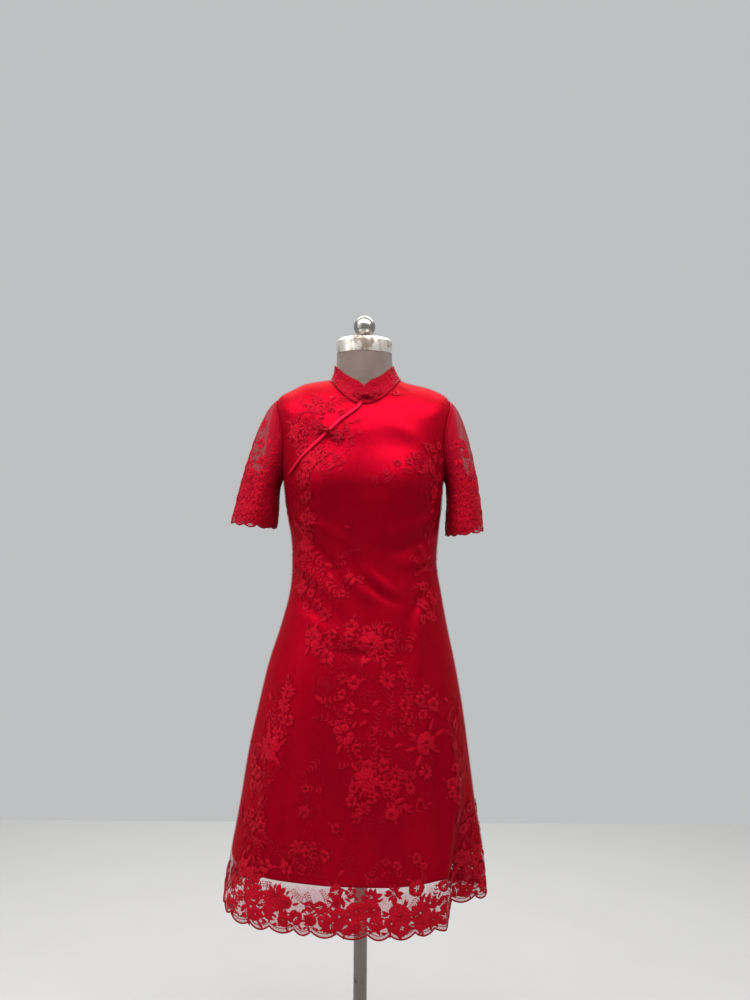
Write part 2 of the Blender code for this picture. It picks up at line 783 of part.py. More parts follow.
# ---------------------------------------------------------------- piping and frogs
def build_piping(cut, satin, collection):
    """The bias strip along the slanted edge, on the lace."""
    low = cut.armhole_low + PIPING_START
    high = cut.top - PIPING_END

    def centre(level):
        return cut.surface.place(Side.FRONT, cut.slant(level), level, -PIPING_LIFT)

    def place(across, up):
        level = low + (high - low) * up
        point = centre(level)
        along = centre(min(level + 0.003, high)) - centre(max(level - 0.003, low))
        outward = point - cut.surface.place(Side.FRONT, cut.slant(level), level, 0.0)
        sideways = np.cross(outward, along)
        sideways /= np.linalg.norm(sideways)
        return point - sideways * (across - 0.5) * PIPING_WIDTH

    mesh = grid_mesh("placket_piping", 2, 26, place)
    solidify(add_object("placket_piping", mesh, satin, collection), PIPING_WALL, outward=True)


def build_pad(name, place, petals, radius, stretch, material, collection):
    """A flat frog ornament with rounded petals.

    Args:
        name: name of the node.
        place: function of two distances in metres on the cloth, which returns a point.
        petals: number of petals.
        radius: mean radius of the outline.
        stretch: length over width along the first direction.
        material: its material.
        collection: where it is linked.
    """
    mesh = bpy.data.meshes.new(name)
    disc = bmesh.new()
    bmesh.ops.create_circle(disc, cap_ends=True, cap_tris=True, segments=20, radius=1.0)
    bmesh.ops.subdivide_edges(disc, edges=list(disc.edges), cuts=1, use_grid_fill=True)
    for vert in disc.verts:
        angle = math.atan2(vert.co.y, vert.co.x)
        size = radius * (1.0 + 0.16 * math.cos(petals * angle)) * min(1.0, vert.co.xy.length)
        vert.co = Vector(place(size * math.cos(angle) * stretch, size * math.sin(angle)))
    bmesh.ops.recalc_face_normals(disc, faces=disc.faces)
    if sum((face.normal.y for face in disc.faces)) > 0.0:
        bmesh.ops.reverse_faces(disc, faces=disc.faces)
    disc.to_mesh(mesh)
    disc.free()
    mesh.shade_smooth()
    solidify(add_object(name, mesh, material, collection), FROG_WALL, outward=True)


def build_knot(name, centre, material, collection):
    """The ball knot of a frog, a little flattened along the body."""
    mesh = bpy.data.meshes.new(name)
    ball = bmesh.new()
    bmesh.ops.create_uvsphere(ball, u_segments=12, v_segments=8, radius=FROG_KNOT_RADIUS)
    for vert in ball.verts:
        vert.co.x *= 1.15
    ball.to_mesh(mesh)
    ball.free()
    mesh.shade_smooth()
    item = add_object(name, mesh, material, collection)
    item.location = Vector(centre)


def build_frogs(cut, collar, satin, collection):
    """The frog at the collar's front and the frog on the slanted edge."""
    knot_level = 0.31
    lift = -(FROG_LIFT + PART_GAP + FROG_KNOT_RADIUS)
    for name, start, reach, high in (("left", -0.0135, 1.05, 0.001), ("right", 0.0225, 1.50, -0.002)):
        def on_collar(across, up, start=start, high=high):
            share = (start + across) / collar.length % 1.0
            return collar.point(share, knot_level + (up + high) / 0.042, -FROG_LIFT)

        build_pad(f"frog_collar_{name}", on_collar, 3, FROG_COLLAR_RADIUS, reach, satin, collection)
    knot = collar.point(0.003 / collar.length, knot_level, lift)
    build_knot("frog_collar_knot", knot, satin, collection)

    share, level = cut.surface.find(*FROG_CHEST_PLACE)
    around, rise = (np.linalg.norm(rate) for rate in cut.surface.rates(Side.FRONT, share, level))
    for name, across_start, up_start in (("left", -0.0185, 0.0070), ("right", 0.0184, -0.0070)):
        def on_chest(across, up, across_start=across_start, up_start=up_start):
            moved = share + (across_start + across) / around
            return cut.surface.place(Side.FRONT, moved, level + (up_start + up) / rise, -FROG_LIFT)

        build_pad(f"frog_chest_{name}", on_chest, 5, FROG_CHEST_RADIUS, 1.1, satin, collection)
    above_piping = -(PIPING_LIFT + PIPING_WALL + PART_GAP + FROG_KNOT_RADIUS)
    centre = cut.surface.place(Side.FRONT, cut.slant(level), level, above_piping)
    build_knot("frog_chest_knot", centre, satin, collection)


# ---------------------------------------------------------------- dress form and stand
def form_ring_point(surface, share, level):
    """A point of the form's torso, all round, with share 0 at the left seam, front first."""
    ease = surface.curve.at(level).ease
    inset = 2.0 * CLOTH_WALL + LAYER_GAP + SEAM_GAP + max(0.0, ease)
    if share <= 0.5:
        return surface.place(Side.FRONT, 2.0 * share, level, inset)
    return surface.place(Side.BACK, 2.0 - 2.0 * share, level, inset)


def neck_point(surface, share, rise):
    """A point of the form's neck, with rise 0 at the torso and 1 under the cap."""
    low = form_ring_point(surface, share, surface.curve.top)
    below = form_ring_point(surface, share, surface.curve.top - 0.010)
    turn = math.atan2(low[1], low[0])
    round_x = FORM_NECK_RADIUS * math.cos(turn)
    round_y = FORM_NECK_RADIUS * math.sin(turn)
    high = np.array([round_x, round_y, FORM_NECK_TOP])
    near = np.array([round_x, round_y, low[2] + NECK_FLARE_HEIGHT])
    leave = low + (low - below) * 0.35
    keep = 1.0 - rise
    return keep**3 * low + 3 * keep**2 * rise * leave + 3 * keep * rise**2 * near + rise**3 * high


def build_form(surface, jersey, collection):
    """The covered torso with its neck, one closed body."""
    bottom = surface.curve.level_of(FORM_BOTTOM_HEIGHT)
    low = list(np.linspace(bottom, surface.curve.level_of(1.19), 11))
    high = list(np.linspace(surface.curve.level_of(1.22), surface.curve.top, 13))
    levels = low + high
    neck_rows = 5
    rows = len(levels) - 1 + neck_rows

    def place(across, up):
        index = int(round(up * rows))
        if index < len(levels):
            point = form_ring_point(surface, across, levels[index])
            point[2] = max(point[2], FORM_BOTTOM_HEIGHT) if index else FORM_BOTTOM_HEIGHT
            return point
        return neck_point(surface, across, (index - len(levels) + 1) / neck_rows)

    mesh = bpy.data.meshes.new("form_body")
    body = bmesh.new()
    bmesh.ops.create_grid(body, x_segments=36, y_segments=rows, size=1.0)
    for vert in body.verts:
        vert.co = Vector(place(0.5 + 0.5 * vert.co.x, 0.5 + 0.5 * vert.co.y))
    bmesh.ops.remove_doubles(body, verts=body.verts, dist=0.00001)
    rims = [edge for edge in body.edges if edge.is_boundary]
    bmesh.ops.holes_fill(body, edges=rims, sides=0)
    bmesh.ops.recalc_face_normals(body, faces=body.faces)
    body.to_mesh(mesh)
    body.free()
    mesh.shade_smooth()
    mesh.set_sharp_from_angle(angle=math.radians(50))
    add_object("form_body", mesh, jersey, collection)


def build_stand(steel, worn_steel, collection):
    """Neck cap, knob, flange, pole, socket and base plate."""
    turned("neck_cap", (
        (0.0, CAP_TOP),
        (CAP_RADIUS - CAP_CHAMFER, CAP_TOP),
        (CAP_RADIUS, CAP_TOP - CAP_CHAMFER),
        (CAP_RADIUS, CAP_BOTTOM),
        (0.0, CAP_BOTTOM),
    ), worn_steel, collection, steps=36)

    foot = CAP_TOP + PART_GAP
    start = math.asin(KNOB_STEM_RADIUS * 0.8 / KNOB_RADIUS)
    arc = [start + (math.pi - start) * step / 9 for step in range(10)]
    ball = [(KNOB_RADIUS * math.sin(angle), KNOB_CENTRE - KNOB_RADIUS * math.cos(angle)) for angle in arc]
    ball[-1] = (0.0, KNOB_CENTRE + KNOB_RADIUS)
    stem = [(KNOB_STEM_RADIUS, foot + 0.0022), (KNOB_STEM_RADIUS, foot), (0.0, foot)]
    turned("ball_knob", tuple(ball[::-1] + stem), steel, collection, steps=24)

    flange_low = FORM_BOTTOM_HEIGHT - PART_GAP - FLANGE_WALL
    turned("stand_flange", (
        (0.0, flange_low + FLANGE_WALL),
        (FLANGE_RADIUS, flange_low + FLANGE_WALL),
        (FLANGE_RADIUS, flange_low),
        (0.0, flange_low),
    ), steel, collection)

    pole_low = BASE_WALL + PART_GAP
    pole_high = flange_low - PART_GAP
    turned("stand_pole", (
        (0.0, pole_high),
        (POLE_RADIUS, pole_high),
        (POLE_RADIUS, pole_low),
        (0.0, pole_low),
    ), steel, collection)

    inner = POLE_RADIUS + PART_GAP
    socket_high = pole_low + SOCKET_HEIGHT
    turned("stand_socket", (
        (inner, socket_high),
        (SOCKET_RADIUS - 0.002, socket_high),
        (SOCKET_RADIUS, socket_high - 0.002),
        (SOCKET_RADIUS, pole_low),
        (inner, pole_low),
        (inner, socket_high),
    ), steel, collection)

    turned("stand_base", (
        (0.0, BASE_WALL),
        (BASE_RADIUS - 0.006, BASE_WALL),
        (BASE_RADIUS - 0.0018, BASE_WALL - 0.0018),
        (BASE_RADIUS, BASE_WALL - 0.005),
        (BASE_RADIUS, 0.001),
        (BASE_RADIUS - 0.001, 0.0),
        (0.0, 0.0),
    ), steel, collection, steps=48)


def main():
    """Builds the dress and its form."""
    clear_scene()
    collection = bpy.data.collections.new("cheongsam_dress")
    bpy.context.scene.collection.children.link(collection)

    satin = make_material("lining_satin", (0.35, 0.0, 0.012), 0.40)
    lace = make_material("embroidered_net", (0.50, 0.004, 0.030), 0.65)
    piping = make_material("piping_satin", (0.62, 0.010, 0.050), 0.35)
    cord = make_material("frog_cord", (0.42, 0.004, 0.025), 0.45)
    jersey = make_material("form_jersey", (0.24, 0.19, 0.16), 0.95)
    steel = make_material("polished_steel", (0.55, 0.54, 0.52), 0.25, 1.0)
    worn_steel = make_material("worn_steel", (0.32, 0.29, 0.26), 0.45, 1.0)

    curve = SectionCurve(SECTIONS)
    surface = BodySurface(curve)
    smooth_surface = BodySurface(curve, has_folds=False)
    cut = DressCut(surface)
    collar = Collar(surface)

    build_body_pieces(cut, satin, lace, collection)
    build_sleeves(cut, lace, collection)
    build_collar(collar, lace, collection)
    build_piping(cut, piping, collection)
    build_frogs(cut, collar, cord, collection)
    build_form(smooth_surface, jersey, collection)
    build_stand(steel, worn_steel, collection)


main()
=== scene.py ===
"""Red lace cheongsam on a limbless dress form: cloth, embroidery, trims, stand and finishes.

Metres, +Z up. The dress's front faces -Y and +X is the viewer's right. Left and right are
the viewer's. The origin is the middle of the underside of the stand's base plate.
"""
import logging
import math
from collections.abc import Callable, Iterable, Sequence
from dataclasses import dataclass, field
from enum import Enum
from typing import NamedTuple

import bmesh
import bpy
import numpy as np
from bpy.types import Material, Mesh, NodeSocket, Object
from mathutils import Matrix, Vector


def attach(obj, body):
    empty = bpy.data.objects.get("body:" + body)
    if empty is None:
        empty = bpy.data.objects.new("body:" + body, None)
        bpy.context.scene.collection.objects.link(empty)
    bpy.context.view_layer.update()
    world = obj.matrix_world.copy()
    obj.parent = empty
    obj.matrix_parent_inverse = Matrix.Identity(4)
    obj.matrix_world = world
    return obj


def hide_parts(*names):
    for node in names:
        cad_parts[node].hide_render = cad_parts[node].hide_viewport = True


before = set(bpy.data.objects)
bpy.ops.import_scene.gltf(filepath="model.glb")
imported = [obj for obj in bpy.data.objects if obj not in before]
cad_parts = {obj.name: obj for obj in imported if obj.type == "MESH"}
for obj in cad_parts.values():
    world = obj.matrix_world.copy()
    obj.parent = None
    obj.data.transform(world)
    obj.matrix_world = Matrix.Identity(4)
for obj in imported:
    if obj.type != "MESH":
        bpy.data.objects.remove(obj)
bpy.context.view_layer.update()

log = logging.getLogger("cheongsam")

Array = np.ndarray
Pair = tuple[float, float]
Colour = tuple[float, float, float]

# ---- shared sizes
CLOTH_WALL = 0.0010
LAYER_GAP = 0.0013
LINING_HEM_HEIGHT = 0.497
LINING_SIDE_RISE = 0.024
LACE_SIDE_RISE = 0.014
LACE_SCALLOP_ZONE = 0.030
LINING_HEM_ZONE = 0.050
ARMHOLE_BOTTOM_HEIGHT = 1.205
ARMHOLE_TOP_HEIGHT = 1.357
ARMHOLE_HALF_WIDTH = 0.115
SEAM_MARGIN = 0.0004
SLANT_MARGIN = 0.0007
SCALLOP_DEPTH = 0.010
CUFF_SCALLOP_DEPTH = 0.007
SLEEVE_LIFT = 0.0011
COLLAR_LIFT = 0.0008
COLLAR_WALL = 0.0015
PIPING_WIDTH = 0.0075
FORM_BOTTOM_HEIGHT = 0.745
FORM_NECK_RADIUS = 0.0520
FORM_NECK_TOP = 1.4452
NECK_FLARE_HEIGHT = 0.014
CREASE_DEPTH_FREE = 0.010
CREASE_SHARE_OF_EASE = 0.7
CREASE_REACH = 3.0
TABLE_COLUMNS = 201
TABLE_LEVELS = 421
RING_SAMPLES = 481


class Side(Enum):
    """The two halves of the body ring, split at the side and shoulder seams."""

    FRONT = -1.0
    BACK = 1.0


class Section(NamedTuple):
    """One level of the dress: sizes of its ring, in metres."""

    height: float
    left: float
    right: float
    front: float
    back: float
    roundness: float
    front_drop: float
    ease: float


SECTIONS = tuple(Section(*row) for row in (
    (0.410, 0.259, 0.240, 0.158, 0.163, 2.20, 0.000, 0.0),
    (0.450, 0.256, 0.238, 0.156, 0.161, 2.20, 0.000, 0.0),
    (0.500, 0.248, 0.234, 0.153, 0.158, 2.20, 0.000, 0.0),
    (0.600, 0.230, 0.217, 0.146, 0.152, 2.20, 0.000, 0.0),
    (0.700, 0.214, 0.203, 0.139, 0.146, 2.20, 0.000, 0.020),
    (0.790, 0.195, 0.190, 0.131, 0.138, 2.20, 0.000, 0.014),
    (0.866, 0.177, 0.176, 0.123, 0.129, 2.20, 0.000, 0.009),
    (0.940, 0.1535, 0.160, 0.113, 0.115, 2.20, 0.000, 0.010),
    (1.000, 0.1385, 0.149, 0.105, 0.099, 2.20, 0.000, 0.014),
    (1.056, 0.1345, 0.1405, 0.101, 0.089, 2.20, 0.000, 0.014),
    (1.100, 0.1375, 0.1435, 0.105, 0.086, 2.20, 0.000, 0.010),
    (1.150, 0.146, 0.148, 0.1165, 0.090, 2.25, 0.000, 0.005),
    (1.200, 0.152, 0.152, 0.1265, 0.096, 2.30, 0.000, 0.0024),
    (1.240, 0.156, 0.156, 0.1200, 0.099, 2.35, 0.004, 0.0026),
    (1.280, 0.160, 0.160, 0.1085, 0.100, 2.40, 0.010, 0.0018),
    (1.320, 0.165, 0.164, 0.099, 0.098, 2.45, 0.020, 0.0012),
    (1.345, 0.1675, 0.166, 0.091, 0.094, 2.45, 0.028, 0.0020),
    (1.3595, 0.163, 0.161, 0.0865, 0.090, 2.35, 0.034, 0.0024),
    (1.3785, 0.134, 0.133, 0.0805, 0.080, 2.20, 0.042, 0.0012),
    (1.3925, 0.098, 0.081, 0.0755, 0.068, 2.10, 0.0485, 0.001),
    (1.3980, 0.061, 0.068, 0.0725, 0.062, 2.05, 0.052, 0.001),
))


class Fold(NamedTuple):
    """A soft vertical wave of the skirt, deepest at the hem."""

    centre: float
    width: float
    rise: float
    top: float


FOLDS = {
    Side.FRONT: (
        Fold(0.20, 0.080, 0.006, 0.80),
        Fold(0.37, 0.060, -0.005, 0.74),
        Fold(0.57, 0.055, 0.006, 0.72),
        Fold(0.70, 0.050, -0.004, 0.70),
    ),
    Side.BACK: (
        Fold(0.24, 0.060, -0.012, 0.86),
        Fold(0.41, 0.060, 0.009, 0.80),
        Fold(0.60, 0.070, -0.013, 0.84),
        Fold(0.78, 0.055, 0.008, 0.78),
    ),
}

WING_TOP = 0.785
WING_START_AT_HEM = 0.152
WING_START_AT_TOP = 0.186
WING_STEP = 0.020
WING_PINCH = {Side.FRONT: 0.80, Side.BACK: 0.55}
BUST_RISE = 0.011
BUST_OFFSET = 0.074
BUST_HEIGHT = 1.208
BUST_SPREAD = 0.046
BUST_TALL = 0.046

SLANT_POINTS = (
    (-0.002, 1.346),
    (-0.006, 1.3426),
    (-0.010, 1.3392),
    (-0.016, 1.3342),
    (-0.022, 1.3291),
    (-0.028, 1.324),
    (-0.054, 1.301),
    (-0.073, 1.283),
    (-0.099, 1.258),
    (-0.122, 1.232),
    (-0.132, 1.216),
)

HEM_LOBES = (6, 5, 7, 5, 6, 4, 6, 7, 5, 6, 5, 7, 5, 4, 6, 4)
CUFF_LOBES = (5, 4, 5, 6, 4, 5, 5, 4, 5, 5)


class Crease(NamedTuple):
    """A soft ridge or trough along a bowed line, as x and height, with its width and rise."""

    start: Pair
    bend: Pair
    end: Pair
    width: float
    rise: float


CREASES = {
    Side.FRONT: tuple(Crease(*row) for row in (
        ((-0.130, 1.128), (-0.070, 1.135), (-0.012, 1.078), 0.011, 0.0054),
        ((-0.105, 1.098), (-0.070, 1.075), (-0.018, 1.000), 0.010, -0.0074),
        ((-0.128, 1.052), (-0.090, 1.045), (-0.035, 0.972), 0.012, 0.0058),
        ((-0.050, 1.050), (-0.010, 1.010), (0.030, 0.985), 0.010, 0.0048),
        ((0.004, 1.052), (0.026, 1.020), (0.062, 1.000), 0.009, 0.0058),
        ((0.010, 1.030), (0.030, 0.998), (0.070, 0.984), 0.008, -0.0048),
        ((0.130, 1.140), (0.090, 1.120), (0.020, 1.100), 0.011, 0.0045),
        ((0.134, 1.110), (0.095, 1.085), (0.045, 1.075), 0.010, -0.0054),
        ((0.132, 1.066), (0.100, 1.050), (0.060, 1.055), 0.009, 0.0042),
        ((0.138, 1.020), (0.108, 1.000), (0.086, 0.950), 0.010, -0.0048),
        ((0.104, 0.985), (0.098, 0.930), (0.104, 0.860), 0.010, 0.0064),
        ((0.082, 0.960), (0.076, 0.910), (0.080, 0.850), 0.011, -0.0048),
        ((-0.120, 0.985), (-0.085, 0.975), (-0.050, 0.925), 0.011, -0.0048),
        ((-0.100, 0.960), (-0.060, 0.935), (0.010, 0.915), 0.012, 0.0042),
        ((-0.060, 0.905), (-0.020, 0.890), (0.050, 0.900), 0.011, -0.0035),
        ((-0.060, 1.196), (-0.010, 1.180), (0.060, 1.192), 0.014, -0.0019),
        ((-0.030, 1.180), (-0.035, 1.140), (-0.026, 1.100), 0.012, 0.0029),
        ((0.036, 1.176), (0.040, 1.140), (0.030, 1.105), 0.012, 0.0026),
        ((0.150, 0.800), (0.166, 0.700), (0.186, 0.560), 0.009, 0.0064),
        ((0.128, 0.780), (0.142, 0.660), (0.150, 0.520), 0.010, -0.0070),
        ((-0.150, 0.760), (-0.172, 0.640), (-0.188, 0.520), 0.011, 0.0064),
        ((-0.122, 0.770), (-0.132, 0.640), (-0.138, 0.520), 0.011, -0.0058),
        ((0.020, 1.318), (0.075, 1.300), (0.128, 1.262), 0.015, 0.0022),
    )),
    Side.BACK: tuple(Crease(*row) for row in (
        ((-0.126, 1.130), (-0.070, 1.110), (-0.006, 1.128), 0.011, 0.0058),
        ((-0.128, 1.100), (-0.060, 1.084), (0.010, 1.094), 0.010, -0.0070),
        ((-0.100, 1.066), (-0.030, 1.052), (0.060, 1.066), 0.011, 0.0064),
        ((0.128, 1.120), (0.080, 1.096), (0.024, 1.112), 0.010, 0.0054),
        ((0.130, 1.084), (0.090, 1.064), (0.036, 1.078), 0.010, -0.0064),
        ((0.126, 1.040), (0.070, 1.020), (-0.020, 1.034), 0.011, 0.0051),
        ((-0.120, 1.020), (-0.080, 1.000), (-0.030, 1.008), 0.010, -0.0054),
        ((-0.090, 0.970), (-0.086, 0.920), (-0.096, 0.850), 0.011, 0.0058),
        ((0.084, 0.980), (0.080, 0.920), (0.092, 0.840), 0.011, 0.0054),
        ((0.000, 1.000), (0.006, 0.940), (-0.002, 0.860), 0.010, -0.0048),
        ((-0.146, 0.780), (-0.166, 0.660), (-0.180, 0.520), 0.010, 0.0067),
        ((0.146, 0.770), (0.160, 0.650), (0.178, 0.530), 0.010, -0.0064),
        ((-0.090, 1.330), (-0.060, 1.280), (-0.020, 1.250), 0.015, 0.0022),
        ((0.092, 1.326), (0.064, 1.280), (0.026, 1.246), 0.015, 0.0022),
    )),
}


def blend(edge_low: float, edge_high: float, value: Array) -> Array:
    """Smooth step of value from 0 at edge_low to 1 at edge_high."""
    share = np.clip((value - edge_low) / (edge_high - edge_low), 0.0, 1.0)
    return share * share * (3.0 - 2.0 * share)


def unit(vectors: Array) -> Array:
    """Vectors along the last axis at a length of 1."""
    return vectors / np.maximum(np.linalg.norm(vectors, axis=-1, keepdims=True), 1e-12)


def run_along(points: Array) -> Array:
    """Distance along a path to each of its points."""
    return np.concatenate([[0.0], np.cumsum(np.linalg.norm(np.diff(points, axis=0), axis=1))])


def resample(points: Array, shares: Array) -> Array:
    """Points of a path at shares of its length."""
    run = run_along(points)
    return np.column_stack([np.interp(shares, run / run[-1], points[:, axis]) for axis in range(3)])


class SectionCurve:
    """Smooth columns of the section table, by level: metres along the side from the hem."""

    def __init__(self) -> None:
        """Measures the levels of the sections and the slopes between them."""
        self.rows = np.array(SECTIONS)
        middle = 0.5 * (self.rows[:, 1] + self.rows[:, 2])
        steps = np.hypot(np.diff(self.rows[:, 0]), np.diff(middle))
        self.knots = np.concatenate([[0.0], np.cumsum(steps)])
        self.slopes = np.gradient(self.rows, self.knots, axis=0)

    @property
    def top(self) -> float:
        """Level of the neckline."""
        return float(self.knots[-1])

    def at(self, level: float) -> Section:
        """The Section at a level."""
        index = int(np.clip(np.searchsorted(self.knots, level) - 1, 0, len(self.knots) - 2))
        span = self.knots[index + 1] - self.knots[index]
        t = (level - self.knots[index]) / span
        first = (2 * t**3 - 3 * t**2 + 1) * self.rows[index]
        last = (3 * t**2 - 2 * t**3) * self.rows[index + 1]
        leave = (t**3 - 2 * t**2 + t) * span * self.slopes[index]
        arrive = (t**3 - t**2) * span * self.slopes[index + 1]
        return Section(*(first + last + leave + arrive))

    def level_of(self, height: float) -> float:
        """Level where the side seam reaches a height."""
        return float(np.interp(height, self.rows[:, 0], self.knots))


@dataclass
class ClothSurface:
    """A smooth surface read from a table of points.

    Across runs 0 to 1 along a row of the table and up runs 0 to 1 from its first row.

    Attributes:
        table: points as rows by columns by 3.
        outward: 1 when across then up turn outward, -1 when they turn inward.
        normals: unit outward normals, worked out when not given.
        closed: True when the last column lies on the first.
        arcs: metres across from the middle and metres up from the foot.
    """

    table: Array
    outward: float = 1.0
    normals: Array | None = None
    closed: bool = False
    arcs: Array = field(init=False)

    def __post_init__(self) -> None:
        """Works out the normals and the distances on the cloth."""
        if self.normals is None:
            along = np.gradient(self.table, axis=1)
            if self.closed:
                along[:, 0] = along[:, -1] = self.table[:, 1] - self.table[:, -2]
            rising = np.gradient(self.table, axis=0)
            self.normals = unit(np.cross(along, rising) * self.outward)
        across = np.linalg.norm(np.diff(self.table, axis=1), axis=2)
        rising = np.linalg.norm(np.diff(self.table, axis=0), axis=2)
        across = np.pad(np.cumsum(across, axis=1), ((0, 0), (1, 0)))
        rising = np.pad(np.cumsum(rising, axis=0), ((1, 0), (0, 0)))
        across = across - 0.5 * across[:, -1:]
        self.arcs = np.stack([across, rising], axis=2)

    def read(self, values: Array, across: Array, up: Array) -> Array:
        """Values of a table at places between its points.

        Args:
            values: rows by columns by any count.
            across: places across, 0 to 1.
            up: places up, 0 to 1.

        Returns:
            One row of values for each place.
        """
        rows, columns = values.shape[:2]
        column = (across % 1.0 if self.closed else np.clip(across, 0.0, 1.0)) * (columns - 1)
        row = np.clip(up, 0.0, 1.0) * (rows - 1)
        left = np.minimum(column.astype(int), columns - 2)
        low = np.minimum(row.astype(int), rows - 2)
        right_share = (column - left)[:, None]
        high_share = (row - low)[:, None]
        bottom = values[low, left] * (1 - right_share) + values[low, left + 1] * right_share
        top = values[low + 1, left] * (1 - right_share) + values[low + 1, left + 1] * right_share
        return bottom * (1 - high_share) + top * high_share

    def at(self, across: Array, up: Array, outset: Array | float) -> Array:
        """Points at places on the surface, moved out by outset metres."""
        across, up = np.atleast_1d(across), np.atleast_1d(up)
        normal = unit(self.read(self.normals, across, up))
        shift = np.broadcast_to(np.asarray(outset, dtype=float), across.shape)
        return self.read(self.table, across, up) + normal * shift[:, None]

    def path(self, across: Array, up: Array, outset: Array | float) -> tuple[Array, Array]:
        """Points at places on the surface, moved out by outset metres, and its normals there."""
        return self.at(across, up, outset), self.read(self.normals, across, up)

    def metres(self, across: Array, up: Array) -> Array:
        """Distances on the cloth, in metres across and up."""
        return self.read(self.arcs, np.atleast_1d(across), np.atleast_1d(up))

    def scale(self, across: float, up: float) -> tuple[float, float, float]:
        """The scale about a place.

        Returns:
            Metres for each unit across, metres square to it for each unit up, and metres across
            that a unit up leans.
        """
        wide = np.array([across - 0.01, across + 0.01])
        wide = wide if self.closed else np.clip(wide, 0.0, 1.0)
        tall = np.clip([up - 0.006, up + 0.006], 0.0, 1.0)
        sides = self.at(wide, np.array([up, up]), 0.0)
        ends = self.at(np.array([across, across]), tall, 0.0)
        side = (sides[1] - sides[0]) / (wide[1] - wide[0])
        rise = (ends[1] - ends[0]) / (tall[1] - tall[0])
        size = float(np.linalg.norm(side))
        lean = float(rise @ side) / size
        return size, math.sqrt(max(1e-8, float(rise @ rise) - lean**2)), lean

    def locate(self, x: float, height: float) -> Pair:
        """Places across and up nearest to an x and a height, as seen from the front or the back."""
        gap = (self.table[:, :, 0] - x) ** 2 + (self.table[:, :, 2] - height) ** 2
        row, column = np.unravel_index(int(np.argmin(gap)), gap.shape)
        return column / (self.table.shape[1] - 1), row / (self.table.shape[0] - 1)


